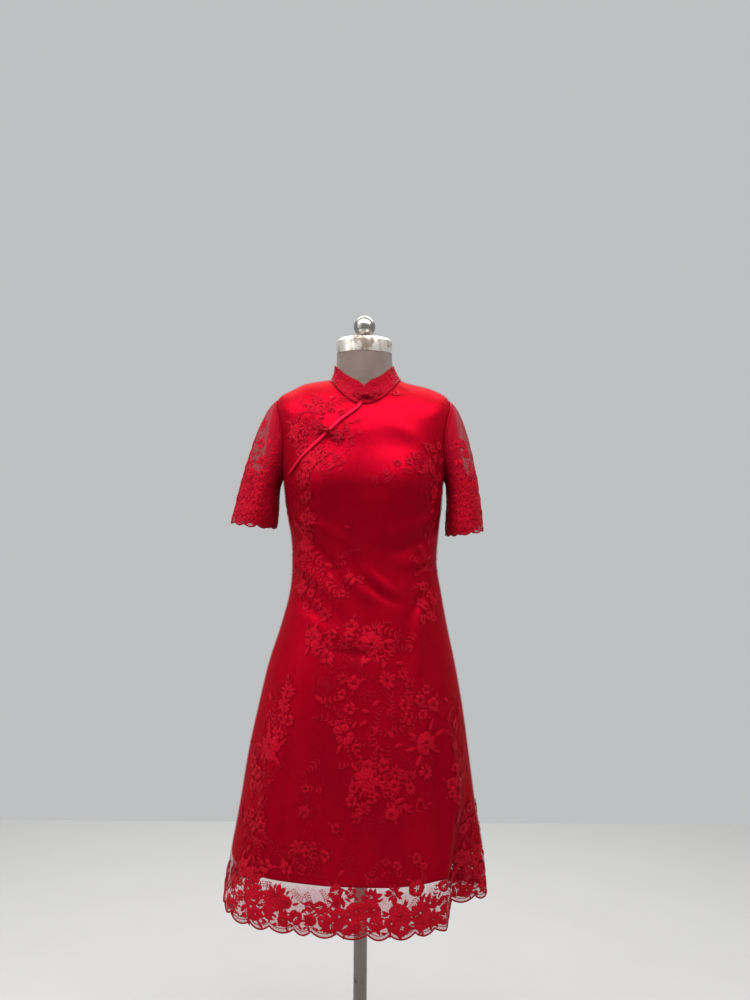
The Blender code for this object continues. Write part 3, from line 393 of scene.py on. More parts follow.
class BodySurfaces:
    """Front and back surfaces of the dress, with its folds and creases, and of its form."""

    def __init__(self, creased: bool = True) -> None:
        """Works out both halves, with their folds and creases or without."""
        self.creased = creased
        self.curve = SectionCurve()
        levels = np.linspace(0.0, self.curve.top, TABLE_LEVELS)
        self.sections = [self.curve.at(level) for level in levels]
        tables = {side: self._table(side) for side in Side}
        normals = {side: ClothSurface(tables[side], -side.value).normals for side in Side}
        for column in (0, -1):
            middle = unit(normals[Side.FRONT][:, column] + normals[Side.BACK][:, column])
            for side in Side:
                normals[side][:, column] = middle
        if creased:
            for side in Side:
                tables[side] = tables[side] + normals[side] * self._creases(side, tables[side])
        self.halves = {side: ClothSurface(tables[side], -side.value, normals[side]) for side in Side}

    def up(self, height: float) -> float:
        """Place up, 0 to 1, of a height at the side seams."""
        return self.curve.level_of(height) / self.curve.top

    def _table(self, side: Side) -> Array:
        """Points of one half, even in length along each ring."""
        shares = np.linspace(0.0, 1.0, TABLE_COLUMNS)
        return np.array([resample(self._ring(side, section), shares) for section in self.sections])

    def _ring(self, side: Side, section: Section) -> Array:
        """Dense half ring of a section.

        Args:
            side: front or back.
            section: its level's sizes.

        Returns:
            Points from the left seam to the right seam.
        """
        angle = np.linspace(0.0, math.pi, RING_SAMPLES)
        power = 2.0 / section.roundness
        across = -np.cos(angle)
        out = np.sin(angle)
        half_width = np.where(across < 0.0, section.left, section.right)
        x = np.sign(across) * np.abs(across) ** power * half_width
        depth = section.front if side is Side.FRONT else section.back
        y = side.value * depth * out ** power
        z = np.full_like(x, section.height)
        if side is Side.FRONT:
            z -= section.front_drop * out ** 2
            cup = np.exp(-((np.abs(x) - BUST_OFFSET) / BUST_SPREAD) ** 2)
            y -= BUST_RISE * cup * np.exp(-((z - BUST_HEIGHT) / BUST_TALL) ** 2)
        if self.creased:
            x, y = self._folds(side, angle / math.pi, x, y, section)
        return np.column_stack([x, y, z])

    @staticmethod
    def _folds(side: Side, share: Array, x: Array, y: Array, section: Section) -> tuple[Array, Array]:
        """Skirt waves and the wing in front of the right side seam.

        Args:
            side: front or back.
            share: places along the half ring, 0 to 1.
            x: its points' x.
            y: its points' y.
            section: its level's sizes.

        Returns:
            The new x and y.
        """
        hem = SECTIONS[0].height
        depth = section.front if side is Side.FRONT else section.back
        width = 0.5 * (section.left + section.right)
        lean = np.hypot(x / width**2, y / depth**2)
        for fold in FOLDS[side]:
            if section.height < fold.top:
                ramp = ((fold.top - section.height) / (fold.top - hem)) ** 1.3
                wave = fold.rise * ramp * np.exp(-((share - fold.centre) / fold.width) ** 2)
                x = x + wave * (x / width**2) / lean
                y = y + wave * (y / depth**2) / lean
        if section.height < WING_TOP:
            ramp = blend(0.0, 1.0, (WING_TOP - section.height) / (WING_TOP - hem))
            start = WING_START_AT_TOP + (WING_START_AT_HEM - WING_START_AT_TOP) * ramp
            step = blend(start, start + WING_STEP, x)
            y = y * (1.0 - WING_PINCH[side] * ramp * step)
        return x, y

    def _creases(self, side: Side, table: Array) -> Array:
        """Outward shift of each point of a half by its creases.

        Args:
            side: front or back.
            table: the half's smooth points.

        Returns:
            Metres outward, held back where the form is close inside.
        """
        shift = np.zeros(table.shape[:2])
        plan = table[:, :, (0, 2)]
        along = np.linspace(0.0, 1.0, 40)
        strength = np.sin(math.pi * along) ** 0.7
        for crease in CREASES[side]:
            start, bend, end = (np.array(point) for point in (crease.start, crease.bend, crease.end))
            line = (
                np.outer((1 - along) ** 2, start)
                + np.outer(2 * along * (1 - along), bend)
                + np.outer(along**2, end)
            )
            reach = CREASE_REACH * crease.width
            near = ((plan > line.min(axis=0) - reach) & (plan < line.max(axis=0) + reach)).all(axis=2)
            gap = ((plan[near][:, None, :] - line[None, :, :]) ** 2).sum(axis=2)
            wave = np.exp(-gap / crease.width**2) * strength[None, :]
            shift[near] += crease.rise * wave.max(axis=1)
        ease = np.array([section.ease for section in self.sections])[:, None]
        free = np.array([section.height < FORM_BOTTOM_HEIGHT for section in self.sections])[:, None]
        inward = np.where(free, CREASE_DEPTH_FREE, CREASE_SHARE_OF_EASE * np.maximum(ease, 0.0))
        return np.maximum(shift, -inward)[:, :, None]


def scallop(share: Array, lobes: Sequence[int], depth: float) -> Array:
    """Height of a scalloped edge above its lowest line.

    Args:
        share: places along the edge, 0 to 1.
        lobes: relative widths of the lobes.
        depth: height of the cusps.

    Returns:
        0 at the foot of a lobe and depth at a cusp.
    """
    knots = np.concatenate([[0.0], np.cumsum(lobes)]) / sum(lobes)
    index = np.clip(np.searchsorted(knots, share, side="right") - 1, 0, len(lobes) - 1)
    local = (share - knots[index]) / (knots[index + 1] - knots[index])
    return depth * (1.0 - np.sin(math.pi * np.clip(local, 0.0, 1.0)) ** 0.7)


def side_rise(across: Array | float, height: float) -> Array | float:
    """Rise of a hem towards the side seams, height metres at the seams themselves."""
    return height * (1.0 - np.sin(math.pi * across)) ** 2


# ---- shader tools
class Shade:
    """A node socket whose operators add Math nodes to its tree."""

    def __init__(self, board: "NodeBoard", socket: NodeSocket) -> None:
        """Keeps the socket and the board that it is on."""
        self.board = board
        self.socket = socket

    def math(self, operation: str, *others: "float | Shade", clamp: bool = False) -> "Shade":
        """A Math node on this socket and up to two more values."""
        settings = {"operation": operation, "use_clamp": clamp}
        values = dict(enumerate((self, *others)))
        return self.board.add("ShaderNodeMath", settings, values, "Value")

    def __add__(self, other: "float | Shade") -> "Shade":
        """Sum."""
        return self.math("ADD", other)

    __radd__ = __add__

    def __sub__(self, other: "float | Shade") -> "Shade":
        """Difference."""
        return self.math("SUBTRACT", other)

    def __rsub__(self, other: float) -> "Shade":
        """Difference from a plain number."""
        return self.board.add("ShaderNodeMath", {"operation": "SUBTRACT"}, {0: other, 1: self}, "Value")

    def __mul__(self, other: "float | Shade") -> "Shade":
        """Product."""
        return self.math("MULTIPLY", other)

    __rmul__ = __mul__

    def step(self, low: float, high: float) -> "Shade":
        """Smooth step from 0 at low to 1 at high."""
        return self.board.add(
            "ShaderNodeMapRange",
            {"interpolation_type": "SMOOTHSTEP"},
            {"Value": self, "From Min": low, "From Max": high, "To Min": 0.0, "To Max": 1.0},
            "Result",
        )


class NodeBoard:
    """The node tree of one material, with its Principled shader."""

    def __init__(self, name: str) -> None:
        """Starts a material of this name."""
        self.material = bpy.data.materials.new(name)
        self.material.use_nodes = True
        self.tree = self.material.node_tree
        self.shader = self.tree.nodes["Principled BSDF"]

    def add(self, kind: str, settings: dict, inputs: dict, output: str | int = 0) -> Shade:
        """Adds a node.

        Args:
            kind: the node's type.
            settings: attributes, set before the sockets.
            inputs: socket name or index to a value or a Shade.
            output: name or index of the socket that is returned.

        Returns:
            The output socket.
        """
        node = self.tree.nodes.new(kind)
        for key, value in settings.items():
            setattr(node, key, value)
        for key, value in inputs.items():
            self.feed(node.inputs[key], value)
        return Shade(self, node.outputs[output])

    def feed(self, socket: NodeSocket, value: "float | Colour | Shade") -> None:
        """Links a Shade to a socket or sets its plain value."""
        if isinstance(value, Shade):
            self.tree.links.new(value.socket, socket)
        elif isinstance(value, tuple) and socket.type == "RGBA":
            socket.default_value = (*value, 1.0)
        else:
            socket.default_value = value

    def finish(self, **inputs: "float | Colour | Shade") -> Material:
        """Feeds the Principled shader's sockets, with _ for a space in their names."""
        for name, value in inputs.items():
            self.feed(self.shader.inputs[name.replace("_", " ")], value)
        return self.material

    def place(self, uv_map: str | None = None) -> Shade:
        """Object coordinates, or a named UV map."""
        if uv_map is None:
            return self.add("ShaderNodeTexCoord", {}, {}, "Object")
        return self.add("ShaderNodeUVMap", {"uv_map": uv_map}, {})

    def parts(self, vector: Shade) -> tuple[Shade, Shade, Shade]:
        """X, Y and Z of a vector."""
        first = self.add("ShaderNodeSeparateXYZ", {}, {0: vector}, "X")
        node = first.socket.node
        return first, Shade(self, node.outputs["Y"]), Shade(self, node.outputs["Z"])

    def scaled(self, vector: Shade, scale: Colour) -> Shade:
        """A vector times a plain one."""
        return self.add("ShaderNodeVectorMath", {"operation": "MULTIPLY"}, {0: vector, 1: scale}, "Vector")

    def noise(self, vector: Shade, scale: float, detail: float = 2.0, rough: float = 0.5) -> Shade:
        """Noise from 0 to 1."""
        inputs = {"Vector": vector, "Scale": scale, "Detail": detail, "Roughness": rough}
        return self.add("ShaderNodeTexNoise", {}, inputs, 0)

    def mix(self, factor: "float | Shade", first: "Colour | Shade", second: "Colour | Shade") -> Shade:
        """A mix of two colours."""
        node = self.tree.nodes.new("ShaderNodeMix")
        node.data_type = "RGBA"
        self.feed(node.inputs[0], factor)
        self.feed(node.inputs[6], first)
        self.feed(node.inputs[7], second)
        return Shade(self, node.outputs[2])

    def bump(self, height: Shade, distance: float, strength: float = 1.0) -> Shade:
        """A normal from a height of 0 to 1 and its size in metres."""
        inputs = {"Height": height, "Distance": distance, "Strength": strength}
        return self.add("ShaderNodeBump", {}, inputs, "Normal")


def threads(position: Shade, pitch: float) -> Shade:
    """Round ridges across a position in metres, 0 to 1, with one ridge each pitch."""
    return (position * (math.pi / pitch)).math("SINE").math("ABSOLUTE")


# ---- finishes
@dataclass(frozen=True)
class SatinFinish:
    """Smooth satin with a fine weave, a red gloss and slightly uneven dye.

    Attributes:
        name: the material's name.
        light: its lighter dye.
        dark: its darker dye.
        gloss: 0 for matte cotton, 1 for the glossiest silk.
        roughness: how far its gloss spreads.
        weave: metres between its threads.
        uv_map: the UV map in metres that its threads follow.
    """

    name: str
    light: Colour
    dark: Colour
    gloss: float
    roughness: float = 0.42
    weave: float = 0.0006
    uv_map: str = "cloth"

    def make(self) -> Material:
        """Builds the material."""
        board = NodeBoard(self.name)
        cloth = board.place(self.uv_map)
        solid = board.place()
        u, v, _ = board.parts(cloth)
        drift = board.noise(board.scaled(solid, (1.0, 1.0, 0.45)), 9.0, 3.0)
        slub = board.noise(board.scaled(cloth, (700.0, 26.0, 1.0)), 1.0, 2.0)
        colour = board.mix(drift.step(0.30, 0.72), self.dark, self.light)
        colour = board.mix(slub.step(0.45, 0.8) * 0.2, colour, self.dark)
        weave = threads(u, self.weave) * threads(v, self.weave * 1.4)
        pucker = board.noise(board.scaled(solid, (1.0, 1.0, 0.30)), 30.0, 3.0)
        ripple = board.noise(board.scaled(cloth, (60.0, 4.0, 1.0)), 1.0, 2.0)
        normal = board.bump(pucker + ripple * 0.6 + weave * 0.02, 0.0024, 0.6)
        roughness = self.roughness + (slub - 0.5) * 0.10 + (drift - 0.5) * 0.08
        return board.finish(
            Base_Color=colour,
            Roughness=roughness,
            Metallic=self.gloss,
            Normal=normal,
            Specular_IOR_Level=0.15,
            Specular_Tint=(1.0, 0.02, 0.08),
        )


@dataclass(frozen=True)
class NetFinish:
    """Fine tulle: three families of threads with open holes between them.

    Attributes:
        name: the material's name.
        thread: its dye.
        pitch: metres between its threads.
        cover: share of it that is thread.
        reach: metres up from its foot where its density changes.
        thread_low: how opaque its threads are below that.
        thread_high: how opaque they are above.
        filled: how far close stitching fills the holes below and above, 0 to 1.
        edge: metres at its foot that stay open.
        backed: metres from the dress's middle, at the shoulder, as far as satin backs it.
        backed_slope: how much nearer the middle that is for each metre further up.
        backed_cover: how opaque it is there.
        shoulder: height of the shoulder, where backed is measured.
        uv_map: the UV map in metres that its threads follow.
    """

    name: str
    thread: Colour
    pitch: float
    cover: float
    reach: float
    thread_low: float
    thread_high: float
    filled: Pair
    edge: float = 0.0
    backed: float = 0.0
    backed_slope: float = 0.143
    backed_cover: float = 0.94
    shoulder: float = 1.331
    uv_map: str = "cloth"

    def make(self) -> Material:
        """Builds the material."""
        board = NodeBoard(self.name)
        cloth = board.place(self.uv_map)
        solid = board.place()
        u, v, _ = board.parts(cloth)
        first = threads(u + v * 0.58, self.pitch)
        second = threads(u - v * 0.58, self.pitch)
        third = threads(v, self.pitch)
        line = 1.0 - first.math("MINIMUM", second).math("MINIMUM", third)
        edge = math.sin(0.5 * math.pi * (1.0 - self.cover / 3.0))
        strand = line.step(1.0 - edge * 0.36, 1.0 - edge * 0.22)
        tone = board.noise(solid, 60.0, 2.0)
        colour = board.mix(tone, self.thread, tuple(channel * 0.72 for channel in self.thread))
        above = (v + tone * 0.03).step(self.reach, self.reach * 1.35)
        opaque = self.thread_low + above * (self.thread_high - self.thread_low)
        fill = self.filled[0] + above * (self.filled[1] - self.filled[0])
        if self.edge:
            fill = fill * (0.25 + 0.75 * v.step(self.edge, self.edge * 1.5))
        if self.backed:
            side, _, height = board.parts(solid)
            apart = side.math("ABSOLUTE") + (height - self.shoulder) * self.backed_slope
            open_net = apart.step(self.backed, self.backed + 0.010)
            fill = fill.math("MAXIMUM", self.backed_cover - self.backed_cover * open_net)
        board.material.surface_render_method = "BLENDED"
        return board.finish(
            Base_Color=colour,
            Roughness=0.72,
            Alpha=(strand * opaque).math("MAXIMUM", fill),
            Normal=board.bump(line, 0.0002, 0.4),
            Specular_IOR_Level=0.06,
            Specular_Tint=(1.0, 0.05, 0.10),
        )


@dataclass(frozen=True)
class ThreadFinish:
    """Satin stitch: close threads across each petal, with painted shade along its vein, at its outline and
    ends, and between its threads.

    Attributes:
        name: the material's name.
        light: its thread's own colour, where no shade is painted.
        dark: painted shade in the grooves, at each patch's outline, along its vein, at its ends and between
            its threads.
        hem_painted_light: the same thread painted lighter near the hem's border, as painted light.
        across: slant of the threads.
        along: threads along a patch.
    """

    name: str
    light: Colour
    dark: Colour
    hem_painted_light: Colour
    across: float
    along: float

    def make(self) -> Material:
        """Builds the material."""
        board = NodeBoard(self.name)
        stitch = board.place("stitch")
        solid = board.place()
        u, v, _ = board.parts(stitch)
        ridge = threads(v * self.along + (u - 0.5).math("ABSOLUTE") * self.across, 1.0)
        # painted shade: side, vein and ends darken each patch at its outline, along its middle and at its
        # foot and tip
        side = ((u - 0.5).math("ABSOLUTE") * 2.0).step(0.55, 0.96)
        vein = 1.0 - (u - 0.5).math("ABSOLUTE").step(0.015, 0.085)
        ends = (1.0 - v.step(0.0, 0.22)) * 0.75 + v.step(0.93, 1.0) * 0.4
        depth = (side * 0.85).math("MAXIMUM", vein * 0.6).math("MAXIMUM", ends)
        patch = board.noise(solid, 42.0, 2.0)
        # the ridge term paints shade between the threads; the patch noise is a random tone
        shade = depth * 0.75 + (1.0 - ridge) * 0.22 + (patch - 0.5) * 0.8
        _, _, height = board.parts(solid)
        # painted light: below about 0.6 m the thread is mixed towards the lighter hem colour
        thread = board.mix(height.step(0.455, 0.60), self.hem_painted_light, self.light)
        colour = board.mix(shade.math("ADD", 0.0, clamp=True), thread, self.dark)
        return board.finish(
            Base_Color=colour,
            Metallic=0.20,
            Roughness=0.50 + (1.0 - ridge) * 0.20,
            Normal=board.bump(ridge, 0.00025, 0.8),
            Specular_IOR_Level=0.20,
            Specular_Tint=(1.0, 0.10, 0.14),
        )


@dataclass(frozen=True)
class CordFinish:
    """Twisted or whipped cord, read along its own UV map in metres, with painted shade in the grooves
    between its plies.
    """

    name: str
    light: Colour
    dark: Colour
    twist: float
    slope: float

    def make(self) -> Material:
        """Builds the material."""
        board = NodeBoard(self.name)
        run = board.place("cord")
        u, v, _ = board.parts(run)
        ply = threads(v + u * self.slope, self.twist)
        fuzz = board.noise(board.place(), 700.0, 2.0)
        # painted shade: the dark colour fills the grooves between the plies and the light one their crests;
        # the fuzz noise is a random tone
        colour = board.mix(ply * 0.75 + fuzz * 0.25, self.dark, self.light)
        return board.finish(
            Base_Color=colour,
            Roughness=0.48 + fuzz * 0.18,
            Normal=board.bump(ply + fuzz * 0.2, 0.0004, 0.8),
            Specular_IOR_Level=0.25,
            Specular_Tint=(1.0, 0.12, 0.16),
        )


@dataclass(frozen=True)
class JerseyFinish:
    """Fine knitted cover: ribs of small loops, slightly mottled, with faint painted shade between the loops.
    """

    name: str
    light: Colour
    dark: Colour

    def make(self) -> Material:
        """Builds the material."""
        board = NodeBoard(self.name)
        cloth = board.place("cloth")
        solid = board.place()
        u, v, _ = board.parts(cloth)
        rib = threads(u, 0.0011)
        loop = threads(v + rib * 0.0002, 0.0009)
        mottle = board.noise(solid, 26.0, 4.0, 0.62)
        grain = board.noise(solid, 420.0, 2.0)
        # the rib and loop term paints faint shade between the knit's loops; mottle and grain are random tone
        tone = mottle.step(0.30, 0.72) * 0.6 + grain * 0.3 + rib * loop * 0.2
        colour = board.mix(tone.math("ADD", 0.0, clamp=True), self.dark, self.light)
        return board.finish(
            Base_Color=colour,
            Roughness=0.93,
            Normal=board.bump(rib * loop + grain * 0.5, 0.0004, 0.6),
            Specular_IOR_Level=0.2,
            Sheen_Weight=0.15,
            Sheen_Roughness=0.6,
        )


@dataclass(frozen=True)
class SteelFinish:
    """Turned steel: fine lines round its axis, soft blotches and fine scratches.

    Attributes:
        name: the material's name.
        clean: colour where it is bright.
        worn: colour where it is worn or tarnished.
        wear: 0 for clean, 1 for worn all over.
        roughness: roughness where it is bright.
    """

    name: str
    clean: Colour
    worn: Colour
    wear: float
    roughness: float

    def make(self) -> Material:
        """Builds the material."""
        board = NodeBoard(self.name)
        solid = board.place()
        rings = board.noise(board.scaled(solid, (14.0, 14.0, 1500.0)), 1.0, 3.0, 0.6)
        blotch = board.noise(board.scaled(solid, (1.0, 1.0, 1.3)), 46.0, 5.0, 0.64)
        streak = board.noise(board.scaled(solid, (30.0, 30.0, 7.0)), 3.0, 4.0, 0.6)
        scratch = 1.0 - board.noise(board.scaled(solid, (90.0, 90.0, 240.0)), 2.4, 6.0, 0.7).step(0.33, 0.43)
        tarnish = (blotch * 0.6 + streak * 0.4).step(0.62 - 0.34 * self.wear, 0.80 - 0.30 * self.wear)
        tarnish = tarnish.math("MAXIMUM", scratch * (0.25 + 0.45 * self.wear))
        colour = board.mix(tarnish, self.clean, self.worn)
        rough = self.roughness + tarnish * 0.30 + (rings - 0.5) * 0.16
        return board.finish(
            Base_Color=colour,
            Metallic=1.0 - tarnish * (0.35 * self.wear),
            Roughness=rough.math("ADD", 0.0, clamp=True),
            Normal=board.bump(rings * 0.5 + scratch * 0.5, 0.00012, 0.5),
        )


@dataclass(frozen=True)
class FloorFinish:
    """Pale matte floor with a faint grain."""

    name: str
    colour: Colour

    def make(self) -> Material:
        """Builds the material."""
        board = NodeBoard(self.name)
        grain = board.noise(board.place(), 5.0, 4.0, 0.6)
        colour = board.mix(grain, self.colour, tuple(channel * 0.93 for channel in self.colour))
        return board.finish(Base_Color=colour, Roughness=0.85, Specular_IOR_Level=0.25)


class Wardrobe:
    """Every finish of the object, made once."""

    def __init__(self) -> None:
        """Makes the finishes."""
        self.lining = SatinFinish(
            "lining_satin", (0.435, 0.0008, 0.013), (0.31, 0.0005, 0.009), gloss=0.66
        ).make()
        self.net = NetFinish(
            "tulle", (0.36, 0.0016, 0.014), pitch=0.0016, cover=0.52, reach=0.080,
            thread_low=0.96, thread_high=0.62, filled=(0.20, 0.0),
        ).make()
        self.sleeve_net = NetFinish(
            "sleeve_tulle", (0.28, 0.0020, 0.0135), pitch=0.0013, cover=0.72, reach=0.095,
            thread_low=1.0, thread_high=1.0, filled=(0.86, 0.44), edge=0.009, backed=0.167,
        ).make()
        # the satin stitch's dark colour is painted shade in its grooves
        self.stitch = ThreadFinish(
            "satin_stitch", (0.41, 0.0026, 0.016), (0.155, 0.0006, 0.004),
            # the lighter thread at the hem is painted light
            hem_painted_light=(0.45, 0.005, 0.018), across=5.0, along=14.0,
        ).make()
        self.edge_cord = CordFinish(
            "edge_cord", (0.30, 0.004, 0.014), (0.11, 0.001, 0.005), twist=0.0011, slope=0.5
        ).make()
        self.piping = SatinFinish(
            "piping_satin", (0.50, 0.005, 0.026), (0.42, 0.003, 0.020),
            gloss=0.25, roughness=0.45, weave=0.0005, uv_map="cord",
        ).make()
        self.frog = CordFinish(
            "frog_cord", (0.36, 0.0016, 0.014), (0.13, 0.0008, 0.005), twist=0.0009, slope=0.6
        ).make()
        self.collar = SatinFinish(
            "collar_satin", (0.235, 0.0010, 0.009), (0.155, 0.0008, 0.005), gloss=0.20, roughness=0.5
        ).make()
        self.jersey = JerseyFinish("form_jersey", (0.160, 0.118, 0.098), (0.095, 0.069, 0.056)).make()
        self.worn_steel = SteelFinish(
            "worn_steel", (0.78, 0.74, 0.68), (0.20, 0.155, 0.120), wear=0.62, roughness=0.34
        ).make()
        self.steel = SteelFinish(
            "turned_steel", (0.29, 0.28, 0.265), (0.15, 0.135, 0.12), wear=0.25, roughness=0.24
        ).make()
        self.pole_steel = SteelFinish(
            "pole_steel", (0.19, 0.17, 0.15), (0.10, 0.085, 0.075), wear=0.25, roughness=0.34
        ).make()


# ---- piece tools
def place_piece(
    name: str, mesh: Mesh, material: Material, nodes: Sequence[str] = ()
) -> Object:
    """Links a mesh as a piece of the object.

    Args:
        name: the piece's name.
        mesh: its mesh, in place.
        material: its finish.
        nodes: CAD nodes that it stands for.

    Returns:
        The piece.
    """
    piece = bpy.data.objects.new(name, mesh)
    mesh.materials.append(material)
    bpy.context.scene.collection.objects.link(piece)
    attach(piece, "root")
    if nodes:
        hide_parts(*nodes)
    log.info("%s: %d faces", name, len(mesh.polygons))
    return piece


def to_mesh(name: str, shape: bmesh.types.BMesh, sharp: float | None = None) -> Mesh:
    """Frees a bmesh into a smooth-shaded mesh, sharp past an angle in degrees."""
    mesh = bpy.data.meshes.new(name)
    shape.to_mesh(mesh)
    shape.free()
    mesh.shade_smooth()
    if sharp is not None:
        mesh.set_sharp_from_angle(angle=math.radians(sharp))
    return mesh


def give_wall(piece: Object, thickness: float) -> None:
    """Adds a wall inside a cloth piece's outer face."""
    wall = piece.modifiers.new("wall", "SOLIDIFY")
    wall.thickness = thickness
    wall.offset = -1.0
    wall.use_rim = True


def cosine_steps(low: float, high: float, count: int) -> Array:
    """Places from low to high, closer together at both ends."""
    return low + (high - low) * 0.5 * (1.0 - np.cos(np.linspace(0.0, math.pi, count + 1)))


def set_points(
    shape: bmesh.types.BMesh, points: Array, layer: bmesh.types.BMLayerItem, metres: Array
) -> None:
    """Moves a grid's points to their places and writes its UV map in metres."""
    for vert, point in zip(shape.verts, points):
        vert.co = point
    for face in shape.faces:
        for loop in face.loops:
            loop[layer].uv = metres[loop.vert.index]


def sheet_mesh(
    name: str,
    surface: ClothSurface,
    columns: int,
    ups: Array,
    edges: Callable[[float], Pair],
    outset: float,
    lift: Callable[[Array, Array], Array] | None = None,
    closed: bool = False,
) -> Mesh:
    """A grid of cloth on a surface, with its UV map in metres.

    Args:
        name: name of the mesh.
        surface: what it lies on.
        columns: faces across.
        ups: places up of its rows, foot first.
        edges: the places of its left and right edges at a place up.
        outset: metres out from the surface.
        lift: extra rise of each point, as a place up, from its places across and up.
        closed: sews the left edge to the right one.

    Returns:
        The mesh, facing outward.
    """
    rows = len(ups) - 1
    grid = bmesh.new()
    layer = grid.loops.layers.uv.new("cloth")
    bmesh.ops.create_grid(grid, x_segments=columns, y_segments=rows, size=1.0)
    flat = np.array([vert.co[:2] for vert in grid.verts]) * 0.5 + 0.5
    up = ups[np.rint(flat[:, 1] * rows).astype(int)]
    spans = {value: edges(value) for value in np.unique(up)}
    low = np.array([spans[value][0] for value in up])
    high = np.array([spans[value][1] for value in up])
    across = low + (high - low) * flat[:, 0]
    if lift is not None:
        up = up + lift(across, up)
    points = surface.at(across, up, outset)
    metres = surface.metres(across, up)
    set_points(grid, points, layer, metres)
    if closed:
        bmesh.ops.remove_doubles(grid, verts=grid.verts, dist=1e-6)
    if surface.outward < 0.0:
        bmesh.ops.reverse_faces(grid, faces=grid.faces)
    return to_mesh(name, grid)


def tube_mesh(
    name: str,
    points: Array,
    radius: float,
    sides: int = 8,
    flatten: float = 1.0,
    outward: Array | None = None,
    closed: bool = False,
) -> Mesh:
    """A cord along a path, with its UV map in metres.

    Args:
        name: name of the mesh.
        points: the path.
        radius: half of its width.
        sides: faces round it.
        flatten: its height over its width.
        outward: direction of its height at each point, or None for any.
        closed: joins its ends.

    Returns:
        The mesh, with closed ends.
    """
    count = len(points)
    ends = (points[-1:], points[:1]) if closed else (points[:1], points[-1:])
    padded = np.vstack([ends[0], points, ends[1]])
    along = unit(padded[2:] - padded[:-2])
    guide = np.tile([0.0, -1.0, 0.0], (count, 1)) if outward is None else outward
    sideways = unit(np.cross(along, guide))
    height = np.cross(sideways, along)
    run = run_along(points)
    if closed:
        run = np.append(run, run[-1] + np.linalg.norm(points[0] - points[-1]))
    shape = bmesh.new()
    layer = shape.loops.layers.uv.new("cord")
    rows = count if closed else count - 1
    bmesh.ops.create_grid(shape, x_segments=sides, y_segments=rows, size=1.0)
    flat = np.array([vert.co[:2] for vert in shape.verts]) * 0.5 + 0.5
    index = np.rint(flat[:, 1] * rows).astype(int)
    turn = 2.0 * math.pi * flat[:, 0]
    at = index % count
    ring = (
        points[at]
        + sideways[at] * (radius * np.cos(turn))[:, None]
        + height[at] * (radius * flatten * np.sin(turn))[:, None]
    )
    metres = np.column_stack([flat[:, 0] * 2.0 * math.pi * radius, run[index]])
    set_points(shape, ring, layer, metres)
    bmesh.ops.remove_doubles(shape, verts=shape.verts, dist=1e-6)
    rims = [edge for edge in shape.edges if edge.is_boundary]
    if rims:
        bmesh.ops.holes_fill(shape, edges=rims, sides=0)
    bmesh.ops.recalc_face_normals(shape, faces=shape.faces)
    return to_mesh(name, shape)


def join_meshes(name: str, meshes: Iterable[Mesh]) -> Mesh:
    """One mesh out of several that share a UV map's name."""
    shape = bmesh.new()
    for mesh in meshes:
        shape.from_mesh(mesh)
        bpy.data.meshes.remove(mesh)
    return to_mesh(name, shape)


# ---- dress cut
class DressCut:
    """Edges of the pieces, as places on the front and back surfaces."""

    def __init__(self, body: BodySurfaces) -> None:
        """Finds the armholes, the lining's hem and the slanted edge on the body's surfaces."""
        self.body = body
        self.low = body.up(ARMHOLE_BOTTOM_HEIGHT)
        self.high = body.up(ARMHOLE_TOP_HEIGHT)
        self.lining_hem = body.up(LINING_HEM_HEIGHT)
        front = body.halves[Side.FRONT]
        found = [front.locate(x, height) for x, height in SLANT_POINTS]
        found.append((0.0, self.low))
        found.sort(key=lambda spot: spot[1])
        self.slant_across = [spot[0] for spot in found]
        self.slant_up = [spot[1] for spot in found]

    def armhole(self, up: float) -> float:
        """Place of the armhole edge, 0 where there is none."""
        middle = 0.5 * (self.low + self.high)
        offset = (up - middle) / (0.5 * (self.high - self.low))
        return ARMHOLE_HALF_WIDTH * math.sqrt(max(0.0, 1.0 - offset * offset))

    def slant(self, up: float | Array) -> float | Array:
        """Place of the slanted edge."""
        return np.interp(up, self.slant_up, self.slant_across)

    def whole(self, up: float) -> Pair:
        """Edges of a panel that reaches from seam to seam."""
        edge = self.armhole(up) + SEAM_MARGIN
        return edge, 1.0 - edge

    def main_front(self, up: float) -> Pair:
        """Edges of the main front, cut along the slant."""
        left, right = self.whole(up)
        return (left if up <= self.low else float(self.slant(up)) + SLANT_MARGIN), right

    def yoke(self, up: float) -> Pair:
        """Edges of the left yoke."""
        left, _ = self.whole(up)
        return left, max(left + SEAM_MARGIN, float(self.slant(up)) - SLANT_MARGIN)

    def rows(self, first: float, skirt: int) -> Array:
        """Places up of a panel's rows, from its foot at first to the neckline, skirt of them low."""
        skirt_rows = np.linspace(first, self.low, skirt + 1)[:-1]
        if first >= self.low:
            skirt_rows = np.array([])
        armhole = cosine_steps(self.low, self.high, 46)
        shoulder = np.linspace(self.high, 1.0, 22)[1:]
        return np.concatenate([skirt_rows, armhole, shoulder])

    def lace_lift(self, across: Array, up: Array) -> Array:
        """Rise of the lace's foot: higher at the side seams, and scalloped."""
        top = self.body.curve.top
        rise = side_rise(across, LACE_SIDE_RISE) + scallop(across, HEM_LOBES, SCALLOP_DEPTH)
        return rise * np.clip(1.0 - up * top / LACE_SCALLOP_ZONE, 0.0, 1.0) / top

    def lace_foot(self, across: Array | float) -> Array | float:
        """Place up of the lace's scalloped foot."""
        return self.lace_lift(across, 0.0 * across)

    def lining_lift(self, across: Array, up: Array) -> Array:
        """Rise of the lining's foot at the side seams."""
        top = self.body.curve.top
        fade = np.clip(1.0 - (up - self.lining_hem) * top / LINING_HEM_ZONE, 0.0, 1.0)
        return side_rise(across, LINING_SIDE_RISE) * fade / top


